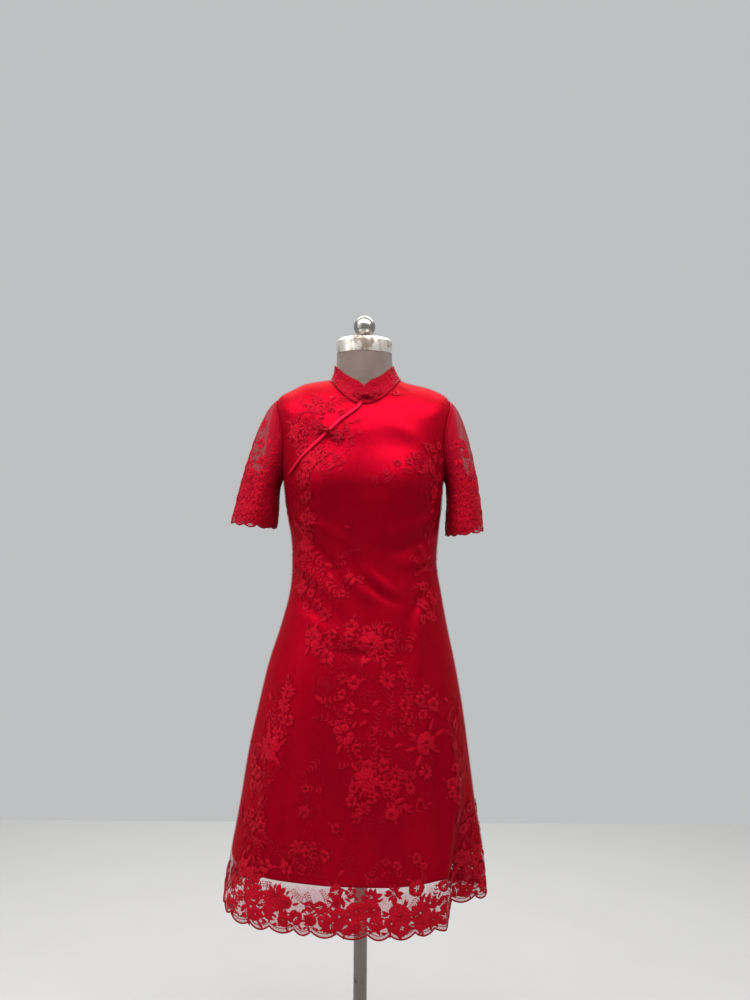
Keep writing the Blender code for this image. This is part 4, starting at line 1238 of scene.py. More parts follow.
# ---- embroidery
class Kind(Enum):
    """Motifs of the embroidery."""

    PEONY = "peony"
    BLOSSOM = "blossom"
    STAR = "star"
    BUD = "bud"
    LEAF = "leaf"
    SPRIG = "sprig"
    FERN = "fern"
    DOTS = "dots"


SPRAY_KINDS = (
    Kind.SPRIG, Kind.BLOSSOM, Kind.FERN, Kind.SPRIG, Kind.STAR, Kind.LEAF, Kind.BLOSSOM, Kind.DOTS
)
SPRAY_SHARES = {Kind.BLOSSOM: 0.36, Kind.STAR: 0.38, Kind.LEAF: 0.5}
BORDER_KINDS = (
    Kind.PEONY, Kind.BLOSSOM, Kind.PEONY, Kind.STAR, Kind.BLOSSOM, Kind.PEONY, Kind.BUD
)


class Motif(NamedTuple):
    """One motif on the front: its kind, middle or foot, size in metres and turn in degrees."""

    kind: Kind
    x: float
    height: float
    size: float
    turn: float


EYE_DISTANCE = 1.80
EYE_HEIGHT = 1.170
FOCUS_PIXELS = 950.0
MIDDLE_COLUMN = 363.4
MIDDLE_ROW = 500.0
PICTURE_LEAN = 0.0069
ROW_HEIGHT = 0.00179
FRONT_DEPTHS = (
    (0.41, 0.155), (0.60, 0.145), (0.80, 0.130), (0.94, 0.112), (1.05, 0.100), (1.10, 0.105),
    (1.20, 0.122), (1.24, 0.120), (1.28, 0.110), (1.345, 0.075), (1.40, 0.060),
)


def seen(kind: Kind, column: int, row: int, size: int, turn: float) -> Motif:
    """A motif on the front from its place as the camera sees it.

    Args:
        kind: which motif.
        column: pixels across the picture to its middle.
        row: pixels down the picture to its middle.
        size: its size in pixels.
        turn: its turn in degrees.

    Returns:
        The Motif, to the nearest millimetre.
    """
    heights, depths = zip(*FRONT_DEPTHS)
    down = row - MIDDLE_ROW
    height = EYE_HEIGHT - down * ROW_HEIGHT
    for _ in range(4):
        away = EYE_DISTANCE - float(np.interp(height, heights, depths))
        height = EYE_HEIGHT - down * away / FOCUS_PIXELS
    middle = MIDDLE_COLUMN - down * PICTURE_LEAN
    x = (column - middle) * away / FOCUS_PIXELS
    return Motif(kind, round(x, 3), round(height, 3), round(size * away / FOCUS_PIXELS, 3), turn)


FRONT_MOTIFS = tuple(seen(*row) for row in (
    (Kind.BLOSSOM, 437, 491, 9, 20),
    (Kind.BLOSSOM, 306, 545, 10, 30),
    (Kind.BLOSSOM, 301, 589, 9, 0),
    (Kind.SPRIG, 316, 562, 28, -50),
    (Kind.SPRIG, 338, 590, 24, -40),
    (Kind.BLOSSOM, 312, 640, 13, 10),
    (Kind.BLOSSOM, 328, 657, 9, 30),
    (Kind.PEONY, 372, 645, 16, 0),
    (Kind.STAR, 388, 681, 11, 0),
    (Kind.FERN, 325, 690, 26, 85),
    (Kind.BLOSSOM, 345, 735, 13, 0),
    (Kind.SPRIG, 410, 714, 24, 60),
    (Kind.PEONY, 428, 746, 16, 20),
    (Kind.PEONY, 368, 780, 16, 0),
    (Kind.SPRIG, 411, 777, 24, 5),
    (Kind.SPRIG, 412, 806, 36, -8),
    (Kind.BLOSSOM, 392, 815, 9, 0),
    (Kind.BLOSSOM, 337, 829, 7, 20),
    (Kind.BLOSSOM, 302, 850, 7, 0),
    (Kind.SPRIG, 283, 697, 30, 75),
    (Kind.PEONY, 268, 752, 16, 0),
    (Kind.SPRIG, 260, 792, 26, 20),
    (Kind.FERN, 310, 805, 34, 88),
    (Kind.BLOSSOM, 456, 790, 9, 0),
    (Kind.BLOSSOM, 264, 874, 9, 0),
    (Kind.PEONY, 240, 882, 13, 10),
    (Kind.FERN, 262, 893, 18, 10),
    (Kind.STAR, 275, 903, 15, 0),
    (Kind.BLOSSOM, 287, 874, 8, 20),
    (Kind.FERN, 298, 898, 16, 140),
    (Kind.FERN, 326, 901, 24, 110),
    (Kind.BLOSSOM, 311, 909, 7, 0),
    (Kind.BLOSSOM, 337, 892, 9, 0),
    (Kind.BLOSSOM, 351, 892, 7, 30),
    (Kind.SPRIG, 300, 922, 24, 160),
    (Kind.BLOSSOM, 325, 922, 9, 0),
    (Kind.PEONY, 341, 917, 12, 0),
    (Kind.PEONY, 358, 911, 14, 20),
    (Kind.BLOSSOM, 377, 922, 10, 0),
    (Kind.STAR, 373, 897, 11, 20),
    (Kind.STAR, 395, 892, 10, 0),
    (Kind.PEONY, 402, 917, 14, 0),
    (Kind.PEONY, 421, 915, 14, 30),
    (Kind.BLOSSOM, 418, 890, 11, 0),
    (Kind.SPRIG, 437, 903, 20, 80),
    (Kind.BLOSSOM, 436, 924, 8, 0),
    (Kind.BLOSSOM, 446, 893, 8, 0),
    (Kind.PEONY, 470, 882, 12, 0),
    (Kind.BLOSSOM, 470, 848, 9, 0),
    (Kind.PEONY, 308, 463, 12, 0),
    (Kind.BLOSSOM, 293, 430, 9, 0),
))


class Zone(NamedTuple):
    """A part of the front that sprays fill: its middle, half sizes, number and size of motifs."""

    x: float
    height: float
    wide: float
    tall: float
    count: int
    size: float


FRONT_ZONES = tuple(Zone(*row) for row in (
    (-0.098, 1.290, 0.038, 0.046, 30, 0.025),
    (-0.068, 1.345, 0.044, 0.020, 13, 0.024),
    (-0.070, 1.238, 0.040, 0.022, 15, 0.024),
    (0.058, 1.374, 0.026, 0.010, 3, 0.024),
    (-0.030, 1.290, 0.030, 0.028, 9, 0.024),
    (-0.114, 1.120, 0.024, 0.100, 34, 0.028),
    (-0.080, 1.010, 0.050, 0.050, 14, 0.034),
    (-0.022, 1.060, 0.030, 0.070, 7, 0.030),
    (0.130, 1.190, 0.024, 0.095, 28, 0.026),
    (0.120, 1.030, 0.024, 0.090, 28, 0.028),
    (0.088, 1.232, 0.034, 0.018, 7, 0.024),
    (0.040, 1.212, 0.026, 0.010, 3, 0.022),
    (0.000, 0.905, 0.095, 0.045, 28, 0.036),
    (-0.048, 0.825, 0.042, 0.060, 12, 0.036),
    (0.060, 0.810, 0.072, 0.058, 24, 0.036),
    (0.050, 0.715, 0.088, 0.058, 27, 0.038),
    (0.040, 0.640, 0.070, 0.042, 15, 0.036),
    (-0.152, 0.790, 0.026, 0.062, 13, 0.036),
    (-0.178, 0.685, 0.030, 0.058, 14, 0.040),
    (-0.088, 0.655, 0.016, 0.055, 5, 0.034),
    (0.166, 0.780, 0.018, 0.055, 7, 0.028),
    (0.184, 0.665, 0.020, 0.060, 10, 0.030),
    (-0.196, 0.570, 0.036, 0.044, 15, 0.034),
    (0.196, 0.560, 0.030, 0.050, 14, 0.032),
    (-0.110, 0.545, 0.060, 0.022, 10, 0.032),
    (0.030, 0.530, 0.110, 0.020, 12, 0.032),
    (-0.208, 0.482, 0.030, 0.032, 13, 0.042),
    (-0.165, 0.462, 0.032, 0.018, 7, 0.042),
    (0.208, 0.500, 0.020, 0.034, 10, 0.038),
))


class Spot(NamedTuple):
    """A place on a surface, with the scale about it."""

    across: float
    up: float
    wide: float
    tall: float
    lean: float


class Patch(NamedTuple):
    """One satin-stitched patch: foot in metres from a spot, direction, sizes and shape."""

    spot: Spot
    x: float
    y: float
    turn: float
    length: float
    width: float
    full: float
    rise: float
    notch: float
    bend: float


def copies(mesh: Mesh, count: int) -> Mesh:
    """One mesh of many copies of another, each with its points together."""
    shape = bmesh.new()
    while count:
        if count & 1:
            shape.from_mesh(mesh)
        count >>= 1
        mesh = join_meshes(mesh.name, [mesh, mesh.copy()])
    return to_mesh(mesh.name, shape)


def polar(reach: float, angle: float) -> Pair:
    """Metres across and up to a point at a distance and a direction."""
    return reach * math.cos(angle), reach * math.sin(angle)


class Stitchwork:
    """Raised embroidery gathered in places on one surface and laid on it in one go.

    Turns are in radians, 0 across and a quarter turn up, and sizes are in metres.
    """

    BROAD_WIDTH = 0.0058
    STEM_WIDTH = 0.0013
    SEED_WIDTH = 0.0021
    SEED_RISE = 0.0007
    RING_SHARES = (1.0, 0.66, 0.38)
    STEM_STROKES = 9

    def __init__(self, surface: ClothSurface, lift: float, seed: int) -> None:
        """Starts with no patches, lift metres out from a surface, and with a seed of its own."""
        self.surface = surface
        self.lift = lift
        self.random = np.random.default_rng(seed)
        self.broad: list[Patch] = []
        self.small: list[Patch] = []

    def spot(self, across: float, up: float) -> Spot:
        """The Spot at a place."""
        return Spot(across, up, *self.surface.scale(across, up))

    def petal(
        self,
        spot: Spot,
        start: Pair,
        turn: float,
        length: float,
        width: float,
        full: float = 0.72,
        rise: float = 0.0008,
        notch: float = 0.0,
        bend: float = 0.0,
    ) -> None:
        """One satin-stitched patch.

        Args:
            spot: the motif's place.
            start: metres across and up from the spot to the patch's foot.
            turn: its direction in radians, 0 across and a quarter turn up.
            length: metres from foot to tip.
            width: metres at its widest.
            full: less than 1 moves the widest part to the tip.
            rise: height of its crown in metres.
            notch: how far its tip is drawn in, as a share of its length.
            bend: how far its tip swings aside, as a share of its length.
        """
        patch = Patch(spot, *start, turn, length, width, full, rise, notch, bend)
        (self.broad if width > self.BROAD_WIDTH else self.small).append(patch)

    def stem(
        self, spot: Spot, length: float, turn: float, bend: float, count: int
    ) -> list[tuple[float, float, float]]:
        """A thin bent line of short strokes with its middle near a spot.

        Args:
            spot: the motif's place.
            length: its length.
            turn: its direction half way.
            bend: how far it turns from foot to tip, in radians.
            count: number of strokes.

        Returns:
            Metres across and up of each stroke's foot and its turn, and the same of the tip.
        """
        x, y = polar(-0.5 * length, turn)
        step = length / count
        strokes = []
        for index in range(count):
            angle = turn + bend * (index / (count - 1) - 0.5)
            self.petal(spot, (x, y), angle, step * 1.25, self.STEM_WIDTH, 1.0, 0.0005)
            strokes.append((x, y, angle))
            ahead = polar(step, angle)
            x, y = x + ahead[0], y + ahead[1]
        return [*strokes, (x, y, turn + 0.5 * bend)]

    def flower(
        self, spot: Spot, radius: float, count: int, turn: float, rings: int = 1, narrow: float = 0.84
    ) -> None:
        """A flower of rings of petals round a knotted middle.

        Args:
            spot: its middle.
            radius: reach of its outer petals.
            count: petals of its outer ring.
            turn: direction of its first petal.
            rings: number of rings.
            narrow: width of the petals over the width that closes the ring.
        """
        for ring in range(rings):
            reach = radius * self.RING_SHARES[ring]
            petals = max(4, count - ring)
            for index in range(petals):
                angle = turn + 2.0 * math.pi * (index + 0.5 * ring) / petals
                angle += self.random.uniform(-0.16, 0.16)
                inner = reach * 0.16
                length = reach * self.random.uniform(0.68, 0.98)
                width = 2.0 * reach * math.sin(math.pi / petals) * narrow * self.random.uniform(0.8, 1.1)
                notch = self.random.uniform(0.05, 0.24) if narrow > 0.7 else 0.0
                bend = self.random.uniform(-0.14, 0.14)
                rise = 0.0008 + 0.0005 * ring
                self.petal(spot, polar(inner, angle), angle, length, width, 0.66, rise, notch, bend)
        for index in range(5):
            angle = turn + 2.0 * math.pi * index / 5
            foot = polar(0.04 * radius, angle)
            self.petal(spot, foot, angle, radius * 0.20, radius * 0.11, 0.8, 0.0012 + 0.0004 * rings)

    def wreath(self, spot: Spot, radius: float, turn: float, count: int) -> None:
        """Leaves that reach out from behind a flower."""
        for index in range(count):
            angle = turn + 2.0 * math.pi * (index + self.random.uniform(-0.3, 0.3)) / count
            size = radius * self.random.uniform(0.6, 1.1)
            swing = self.random.uniform(-0.5, 0.5)
            self.leaf(spot, polar(0.82 * radius, angle), angle + swing, size, 0.36)

    def leaf(
        self, spot: Spot, start: Pair, turn: float, length: float, broad: float = 0.42
    ) -> None:
        """One pointed leaf, bent a little to one side, broad times as wide as long."""
        bend = self.random.uniform(-0.22, 0.22)
        self.petal(spot, start, turn, length, length * broad, 1.0, 0.0007, 0.0, bend)

    def sprig(self, spot: Spot, length: float, turn: float, bend: float) -> None:
        """A bent stem with pairs of leaves and a bud at its tip."""
        *strokes, tip = self.stem(spot, length, turn, bend, self.STEM_STROKES)
        for index, (x, y, angle) in enumerate(strokes):
            if index % 2 == 0:
                size = length * (0.32 - 0.016 * index)
                for side in (-1.0, 1.0):
                    spread = angle + side * self.random.uniform(0.55, 0.95)
                    self.leaf(spot, (x, y), spread, size * self.random.uniform(0.8, 1.15), 0.38)
        self.leaf(spot, tip[:2], tip[2], length * 0.24, 0.38)

    def fern(self, spot: Spot, length: float, turn: float, bend: float) -> None:
        """A bent stem with many small stitched seeds on both sides."""
        count = max(6, int(length / 0.0042))
        *strokes, _ = self.stem(spot, length, turn, bend, count)
        for index, (x, y, angle) in enumerate(strokes):
            size = 0.0056 * (1.0 - 0.35 * index / count)
            for side in (-1.0, 1.0):
                spread = angle + side * 0.95
                aside, rise = polar(0.0022, spread)
                foot = (x + aside, y + rise)
                self.petal(spot, foot, spread, size, self.SEED_WIDTH, 0.9, self.SEED_RISE)

    def dots(self, spot: Spot, length: float, turn: float) -> None:
        """Fanned rows of stitched seeds."""
        for row in range(-1, 2):
            angle = turn + 0.34 * row
            count = max(3, int(length / 0.0062)) - abs(row)
            aside, rise = polar(0.0045 * row, turn)
            for index in range(count):
                x, y = polar(length * (index + 0.5) / count - 0.5 * length, angle)
                self.petal(spot, (x - rise, y + aside), angle, 0.0042, 0.0024, 0.9, self.SEED_RISE)

    def add(self, kind: Kind, spot: Spot, size: float, turn: float) -> None:
        """One motif at a spot.

        Args:
            kind: which motif.
            spot: its middle.
            size: radius of a flower or length of a spray, in metres.
            turn: direction in radians.
        """
        if kind is Kind.PEONY:
            self.wreath(spot, size * 0.9, turn, 6)
            self.flower(spot, size * 0.9, 7, turn, 3)
        elif kind is Kind.BLOSSOM:
            self.wreath(spot, size * 0.9, turn + 0.5, 3)
            self.flower(spot, size * 0.9, 5, turn)
        elif kind is Kind.STAR:
            self.flower(spot, size, 9, turn, 2, 0.58)
        elif kind is Kind.BUD:
            self.flower(spot, size * 0.6, 4, turn)
            self.leaf(spot, (0.0, 0.0), turn, size * 1.1, 0.3)
        elif kind is Kind.LEAF:
            self.leaf(spot, polar(-0.5 * size, turn), turn, size, 0.5)
        elif kind is Kind.SPRIG:
            self.sprig(spot, size, turn, self.random.uniform(-1.1, 1.1))
        elif kind is Kind.FERN:
            self.fern(spot, size, turn, self.random.uniform(-0.9, 0.9))
        else:
            self.dots(spot, size, turn)

    def spray(self, index: int, spot: Spot, size: float, turn: float) -> None:
        """One of the small motifs that fill a zone, chosen in turn by its index."""
        kind = SPRAY_KINDS[index % len(SPRAY_KINDS)]
        share = SPRAY_SHARES.get(kind, 1.0)
        self.add(kind, spot, size * share * self.random.uniform(0.85, 1.2), turn)

    def fill(self, zone: Zone, mirror: float) -> None:
        """Fills a zone evenly with sprays, on the front or mirrored on the back."""
        for index in range(zone.count):
            reach = math.sqrt((index + 0.5) / zone.count)
            angle = 2.4 * index + zone.height * 20.0
            x = zone.x + zone.wide * reach * math.cos(angle)
            height = zone.height + zone.tall * reach * math.sin(angle)
            place = self.surface.locate(mirror * x, height)
            self.spray(index, self.spot(*place), zone.size, self.random.uniform(0.0, 2.0 * math.pi))

    def _spread(self, name: str, patches: Sequence[Patch], detail: tuple[int, int]) -> Mesh:
        """Lays patches of one kind of grid on the surface.

        Args:
            name: name of the mesh.
            patches: what is laid.
            detail: faces across and along each patch.

        Returns:
            One mesh of all of them.
        """
        grid = bmesh.new()
        grid.loops.layers.uv.new("stitch")
        bmesh.ops.create_grid(grid, x_segments=detail[0], y_segments=detail[1], size=0.5, calc_uvs=True)
        if self.surface.outward < 0.0:
            bmesh.ops.reverse_faces(grid, faces=grid.faces)
        tile = np.array([vert.co[:2] for vert in grid.verts])
        mesh = copies(to_mesh(name, grid), len(patches))
        spots = np.array([patch.spot for patch in patches])[:, :, None]
        x, y, turn, length, width, full, crest, notch, bend = (
            np.array([patch[1:] for patch in patches]).T[:, :, None]
        )
        side, along = tile[None, :, 0] * 2.0, tile[None, :, 1] + 0.5
        girth = np.sin(math.pi * np.minimum(along, 0.985) ** (1.0 / full)) ** 0.62
        aside = side * 0.5 * width * np.maximum(0.10, girth) + bend * length * along**2
        dip = notch * np.exp(-((side / 0.45) ** 2)) * along**4
        forward = length * (along - 0.10 * side**2 * along - dip)
        crown = np.sqrt(1.0 - side**2) * np.minimum(1.0, np.minimum(3.4 * along, 4.0 * (1.0 - along)))
        groove = 0.35 * np.exp(-((side / 0.16) ** 2))
        x = x + np.cos(turn) * forward + np.sin(turn) * aside
        y = y + np.sin(turn) * forward - np.cos(turn) * aside
        rise = y / spots[:, 3]
        across = spots[:, 0] + (x - spots[:, 4] * rise) / spots[:, 2]
        up = spots[:, 1] + rise
        out = self.lift + crest * np.maximum(0.0, crown - groove)
        points = self.surface.at(across.ravel(), up.ravel(), out.ravel())
        mesh.vertices.foreach_set("co", points.ravel())
        mesh.update()
        return mesh

    def lay(self, name: str, thread: Material) -> Object:
        """Lays every patch on the surface in a thread and places the piece."""
        work = ((self.broad, (4, 5)), (self.small, (2, 4)))
        spread = [self._spread(name, patches, detail) for patches, detail in work if patches]
        mesh = join_meshes(name, spread)
        return place_piece(name, mesh, thread)


# ---- cloth of the dress
class Cut(NamedTuple):
    """Flat size of a piece as it is cut: width, length and area, in metres."""

    width: float
    length: float
    area: float


@dataclass
class Panels:
    """Lining and lace panels of the body."""

    body: BodySurfaces
    cut: DressCut
    wardrobe: Wardrobe
    columns: int = 112
    lace_outset: float = -0.0007
    lining_outset: float = -(CLOTH_WALL + LAYER_GAP)
    lining_wall: float = 0.0005
    lining_neck: float = 0.001

    def build(self) -> dict[str, Object]:
        """Builds the five panels, by the name of the node that each stands for."""
        cut, net = self.cut, self.wardrobe.net
        lining_rows = cut.rows(cut.lining_hem, 118)
        lining_rows[-1] -= self.lining_neck
        lace_rows = np.concatenate([np.linspace(0.0, 0.026, 14)[:-1], cut.rows(0.026, 128)])
        pieces = {}
        for side, word in ((Side.FRONT, "front"), (Side.BACK, "back")):
            surface = self.body.halves[side]
            name = f"lining_{word}"
            lining = sheet_mesh(
                f"{name}_cloth", surface, self.columns, lining_rows, cut.whole,
                self.lining_outset, cut.lining_lift,
            )
            pieces[name] = place_piece(
                f"{name}_cloth", lining, self.wardrobe.lining, [name]
            )
            give_wall(pieces[name], self.lining_wall)
            name = f"lace_{word}"
            edges = cut.main_front if side is Side.FRONT else cut.whole
            lace = sheet_mesh(
                f"{name}_cloth", surface, self.columns, lace_rows, edges, self.lace_outset, cut.lace_lift
            )
            pieces[name] = place_piece(f"{name}_cloth", lace, net, [name])
        front = self.body.halves[Side.FRONT]
        yoke = sheet_mesh(
            "lace_yoke_cloth", front, 64, cut.rows(cut.low + 0.0008, 1), cut.yoke, self.lace_outset
        )
        pieces["lace_yoke"] = place_piece(
            "lace_yoke_cloth", yoke, net, ["lace_yoke"]
        )
        return pieces


@dataclass
class Sleeve:
    """One short sleeve, hung from the armhole to a scalloped cuff.

    Attributes:
        sign: -1 on the left, 1 on the right.
        centre: metres out from the dress's middle to the cuff's.
        height: the cuff's height under the arm.
        outer_flare: metres out that the cloth still runs at the cuff, and inner_flare under the arm.
        plain: place across, about which the upper net is left open.
        cuff_tilt: how much higher the cuff is on its outer side.
        cuff_zone: metres up from the cuff in which its scallops fade.
        head_out: metres out that the cloth sets off from the armhole, and head_out_top more on top.
        hang: metres down that it still runs at the cuff, and hang_top more on its outer side.
    """

    name: str
    sign: float
    centre: float
    half_width: float
    half_depth: float
    height: float
    outer_flare: float
    inner_flare: float
    seed: int
    plain: float
    cuff_tilt: float = 0.010
    cuff_zone: float = 0.020
    head_out: float = 0.035
    head_out_top: float = 0.065
    head_forward: float = 0.030
    head_down: float = 0.048
    hang: float = 0.09
    hang_top: float = 0.11
    cuff_cord: float = 0.0015
    binding: float = 0.0026
    columns: int = 97
    rows: int = 61
    surface: ClothSurface = field(init=False)

    def prepare(self, body: BodySurfaces, cut: DressCut) -> None:
        """Works out the sleeve's surface: up from the cuff, across round from under the arm."""
        table = np.zeros((self.rows, self.columns, 3))
        for column in range(self.columns):
            across = column / (self.columns - 1)
            turn = math.pi + 2.0 * math.pi * (across if self.sign < 0.0 else 1.0 - across)
            table[:, column] = self._line(body, cut, turn)
        table[:, -1] = table[:, 0]
        self.surface = ClothSurface(table, closed=True)

    def _line(self, body: BodySurfaces, cut: DressCut, turn: float) -> Array:
        """One line of the sleeve between its cuff and the armhole.

        Args:
            body: surfaces that the armhole lies on.
            cut: where the armhole is.
            turn: place round it in radians, 0 at the shoulder and a quarter turn at the front.

        Returns:
            Points, cuff first.
        """
        top_level = body.curve.top
        middle = 0.5 * (cut.low + cut.high)
        half = 0.5 * (cut.high - cut.low) - SLEEVE_LIFT / top_level
        side = Side.FRONT if math.sin(turn) >= 0.0 else Side.BACK
        half_ring = body.halves[side]
        up = middle + half * math.cos(turn)
        length = 2.0 * abs(float(half_ring.metres(np.array([0.0]), np.array([up]))[0, 0]))
        share = (ARMHOLE_HALF_WIDTH - SLEEVE_LIFT / length) * abs(math.sin(turn))
        head = half_ring.at(share if self.sign < 0.0 else 1.0 - share, up, 0.0)[0]
        top = 0.5 + 0.5 * math.cos(turn)
        end = np.array([
            self.sign * (self.centre + self.half_width * math.cos(turn)),
            -self.half_depth * math.sin(turn),
            self.height + self.cuff_tilt * top,
        ])
        out = self.head_out + self.head_out_top * top
        leave = np.array([self.sign * out, -self.head_forward * math.sin(turn), -self.head_down])
        flare = self.inner_flare + (self.outer_flare - self.inner_flare) * top
        arrive = np.array([self.sign * flare, 0.0, -(self.hang + self.hang_top * top)])
        fall = np.linspace(1.0, 0.0, self.rows)[:, None]
        line = (
            (2 * fall**3 - 3 * fall**2 + 1) * head
            + (fall**3 - 2 * fall**2 + fall) * leave
            + (3 * fall**2 - 2 * fall**3) * end
            + (fall**3 - fall**2) * arrive
        )
        spread = np.array([self.sign * math.cos(turn), -math.sin(turn), 0.0])
        wave = 0.0016 * math.sin(3.0 * turn + self.seed)
        wave += 0.0010 * math.sin(5.0 * turn + 2.0 * self.seed)
        return line + spread * (wave - 0.0012) * np.sin(0.5 * math.pi * fall) ** 2

    def cuff_lift(self, across: Array, up: Array) -> Array:
        """Rise of the cuff's scallops, as a place up."""
        length = self.surface.metres(across, np.ones_like(across))[:, 1]
        fade = np.clip(1.0 - up * length / self.cuff_zone, 0.0, 1.0)
        return scallop(across, CUFF_LOBES, CUFF_SCALLOP_DEPTH) * fade / length

    def build(self, wardrobe: Wardrobe) -> tuple[Object, list[Object]]:
        """Builds the sleeve's net, its embroidery and its corded edge."""
        rows = np.concatenate([np.linspace(0.0, 0.12, 10)[:-1], np.linspace(0.12, 1.0, 46)])
        mesh = sheet_mesh(
            f"{self.name}_cloth", self.surface, 96, rows, lambda up: (0.0, 1.0), 0.0, self.cuff_lift,
            closed=True,
        )
        cloth = place_piece(f"{self.name}_cloth", mesh, wardrobe.sleeve_net, [self.name])
        work = Stitchwork(self.surface, 0.0002, self.seed)
        self._embroider(work)
        stitched = work.lay(f"{self.name}_embroidery", wardrobe.stitch)
        places = np.linspace(0.0, 1.0, 260, endpoint=False)
        path = self.surface.at(places, self.cuff_lift(places, 0.0 * places), 0.0)
        normal = self.surface.read(self.surface.normals, places, 0.0 * places)
        cord = tube_mesh(f"{self.name}_cuff_cord", path, self.cuff_cord, 6, 0.8, normal, closed=True)
        edge = place_piece(f"{self.name}_cuff_cord", cord, wardrobe.edge_cord)
        seam, facing = self.surface.path(places, np.ones_like(places), 0.0)
        tape = tube_mesh(f"{self.name}_binding", seam, self.binding, 8, 0.40, facing, closed=True)
        binding = place_piece(f"{self.name}_binding", tape, wardrobe.collar)
        return cloth, [stitched, edge, binding]

    def _embroider(self, work: Stitchwork) -> None:
        """Flowers and leaves, close together from the middle down and open above."""
        rows = (0.07, 0.13, 0.19, 0.25, 0.31, 0.37, 0.43, 0.50, 0.58, 0.66, 0.76, 0.87)
        for row, up in enumerate(rows):
            count = 17 if row < 9 else 10
            for index in range(count):
                across = (index + 0.5 * (row % 2)) / count % 1.0
                away = abs(across - self.plain)
                if up > 0.40 and away < 0.36 * (up - 0.26):
                    continue
                spot = work.spot(across, up + work.random.uniform(-0.02, 0.02))
                turn = work.random.uniform(0.0, 6.28)
                if row < 7 and (row + index) % 2:
                    work.add(Kind.PEONY, spot, work.random.uniform(0.010, 0.014), turn)
                else:
                    work.spray(3 * row + index, spot, 0.030, turn)
        for across, up in ((0.46, 0.60), (0.53, 0.66), (0.42, 0.72), (0.30, 0.86), (0.70, 0.86)):
            work.add(Kind.DOTS, work.spot(across, up), 0.026, work.random.uniform(0.9, 2.0))


SLEEVES = (
    Sleeve(
        "sleeve_left", -1.0, centre=0.2070, half_width=0.0437, half_depth=0.056, height=1.1150,
        outer_flare=0.045, inner_flare=0.020, seed=3, plain=0.40,
    ),
    Sleeve(
        "sleeve_right", 1.0, centre=0.1910, half_width=0.0362, half_depth=0.058, height=1.1030,
        outer_flare=0.012, inner_flare=0.004, seed=8, plain=0.55,
    ),
)


@dataclass
class StandCollar:
    """The stand collar: one band with rounded front corners that meet in a V."""

    top_side: float = 1.4225
    top_front: float = 1.3880
    top_back: float = 1.4360
    half_width: float = 0.0560
    front_depth: float = 0.0595
    back_depth: float = 0.0550
    corner: float = 0.026
    v_share: float = 0.56
    hollow: float = 0.0015
    opening: float = 0.0006
    sprays: int = 84
    spray_size: float = 0.017
    edge_radius: float = 0.0011
    foot_radius: float = 0.0020
    foot_up: float = -0.012
    foot_lift: float = -0.0008
    columns: int = 241
    rows: int = 21
    surface: ClothSurface = field(init=False)
    length: float = field(init=False)

    def prepare(self, body: BodySurfaces) -> None:
        """Works out the collar's outer face, from the front middle round to the right."""
        front = body.halves[Side.FRONT].table[-1]
        back = body.halves[Side.BACK].table[-1]
        half = (TABLE_COLUMNS - 1) // 2
        ring = np.vstack([front[half:], back[::-1][1:], front[1:half + 1]])
        self.length = float(run_along(ring)[-1])
        share = np.linspace(0.0, 1.0, self.columns)
        low = resample(ring, share)
        low[:, 2] += COLLAR_LIFT
        turn = 2.0 * math.pi * share
        frontness = np.cos(turn)
        depth = np.where(frontness > 0.0, self.front_depth, self.back_depth)
        rise = np.where(frontness > 0.0, self.top_front, self.top_back)
        high = np.column_stack([
            self.half_width * np.sin(turn),
            -depth * frontness,
            self.top_side + (rise - self.top_side) * frontness**2,
        ])
        up = np.linspace(0.0, 1.0, self.rows)[:, None, None]
        table = low[None] + (high - low)[None] * up
        outward = unit(table * np.array([1.0, 1.0, 0.0]))
        table = table - outward * self.hollow * np.sin(math.pi * up)
        self.surface = ClothSurface(table, closed=True)

    def top(self, across: Array) -> Array:
        """How far up the cloth reaches: less at the rounded front corners."""
        distance = np.minimum(across, 1.0 - across) * self.length
        run = np.clip(1.0 - distance / self.corner, 0.0, 1.0)
        return self.v_share + (1.0 - self.v_share) * np.sqrt(1.0 - run**2.4)

    def build(self, wardrobe: Wardrobe) -> tuple[Object, list[Object]]:
        """Builds the band, its embroidery and the fine rolls along its edge and its foot."""
        margin = self.opening / self.length
        mesh = sheet_mesh(
            "collar_cloth", self.surface, 180, np.linspace(0.0, 1.0, 15), lambda up: (margin, 1.0 - margin),
            0.0, lambda across, up: up * (self.top(across) - 1.0),
        )
        cloth = place_piece("collar_cloth", mesh, wardrobe.collar, ["collar"])
        give_wall(cloth, COLLAR_WALL)
        work = Stitchwork(self.surface, 0.0002, 21)
        for index in range(self.sprays):
            across = (index + 0.5) / self.sprays
            share = (0.22, 0.78, 0.50)[index % 3]
            up = share * float(self.top(np.array([across]))[0])
            work.spray(index, work.spot(across, up), self.spray_size, work.random.uniform(0.0, 6.28))
        stitched = work.lay("collar_embroidery", wardrobe.stitch)
        places = np.linspace(margin, 1.0 - margin, 240)
        climb = np.linspace(0.02, self.v_share, 10)[:-1]
        across = np.concatenate([np.full(9, margin), places, np.full(9, 1.0 - margin)])
        up = np.concatenate([climb, self.top(places), climb[::-1]])
        path = self.surface.at(across, up, -0.5 * COLLAR_WALL)
        foot = self.surface.at(places, np.full_like(places, self.foot_up), self.foot_lift)
        roll = join_meshes("collar_edge_roll", [
            tube_mesh("collar_edge_roll", path, self.edge_radius, 8),
            tube_mesh("collar_edge_roll", foot, self.foot_radius, 8),
        ])
        edge = place_piece("collar_edge_roll", roll, wardrobe.collar)
        return cloth, [stitched, edge]


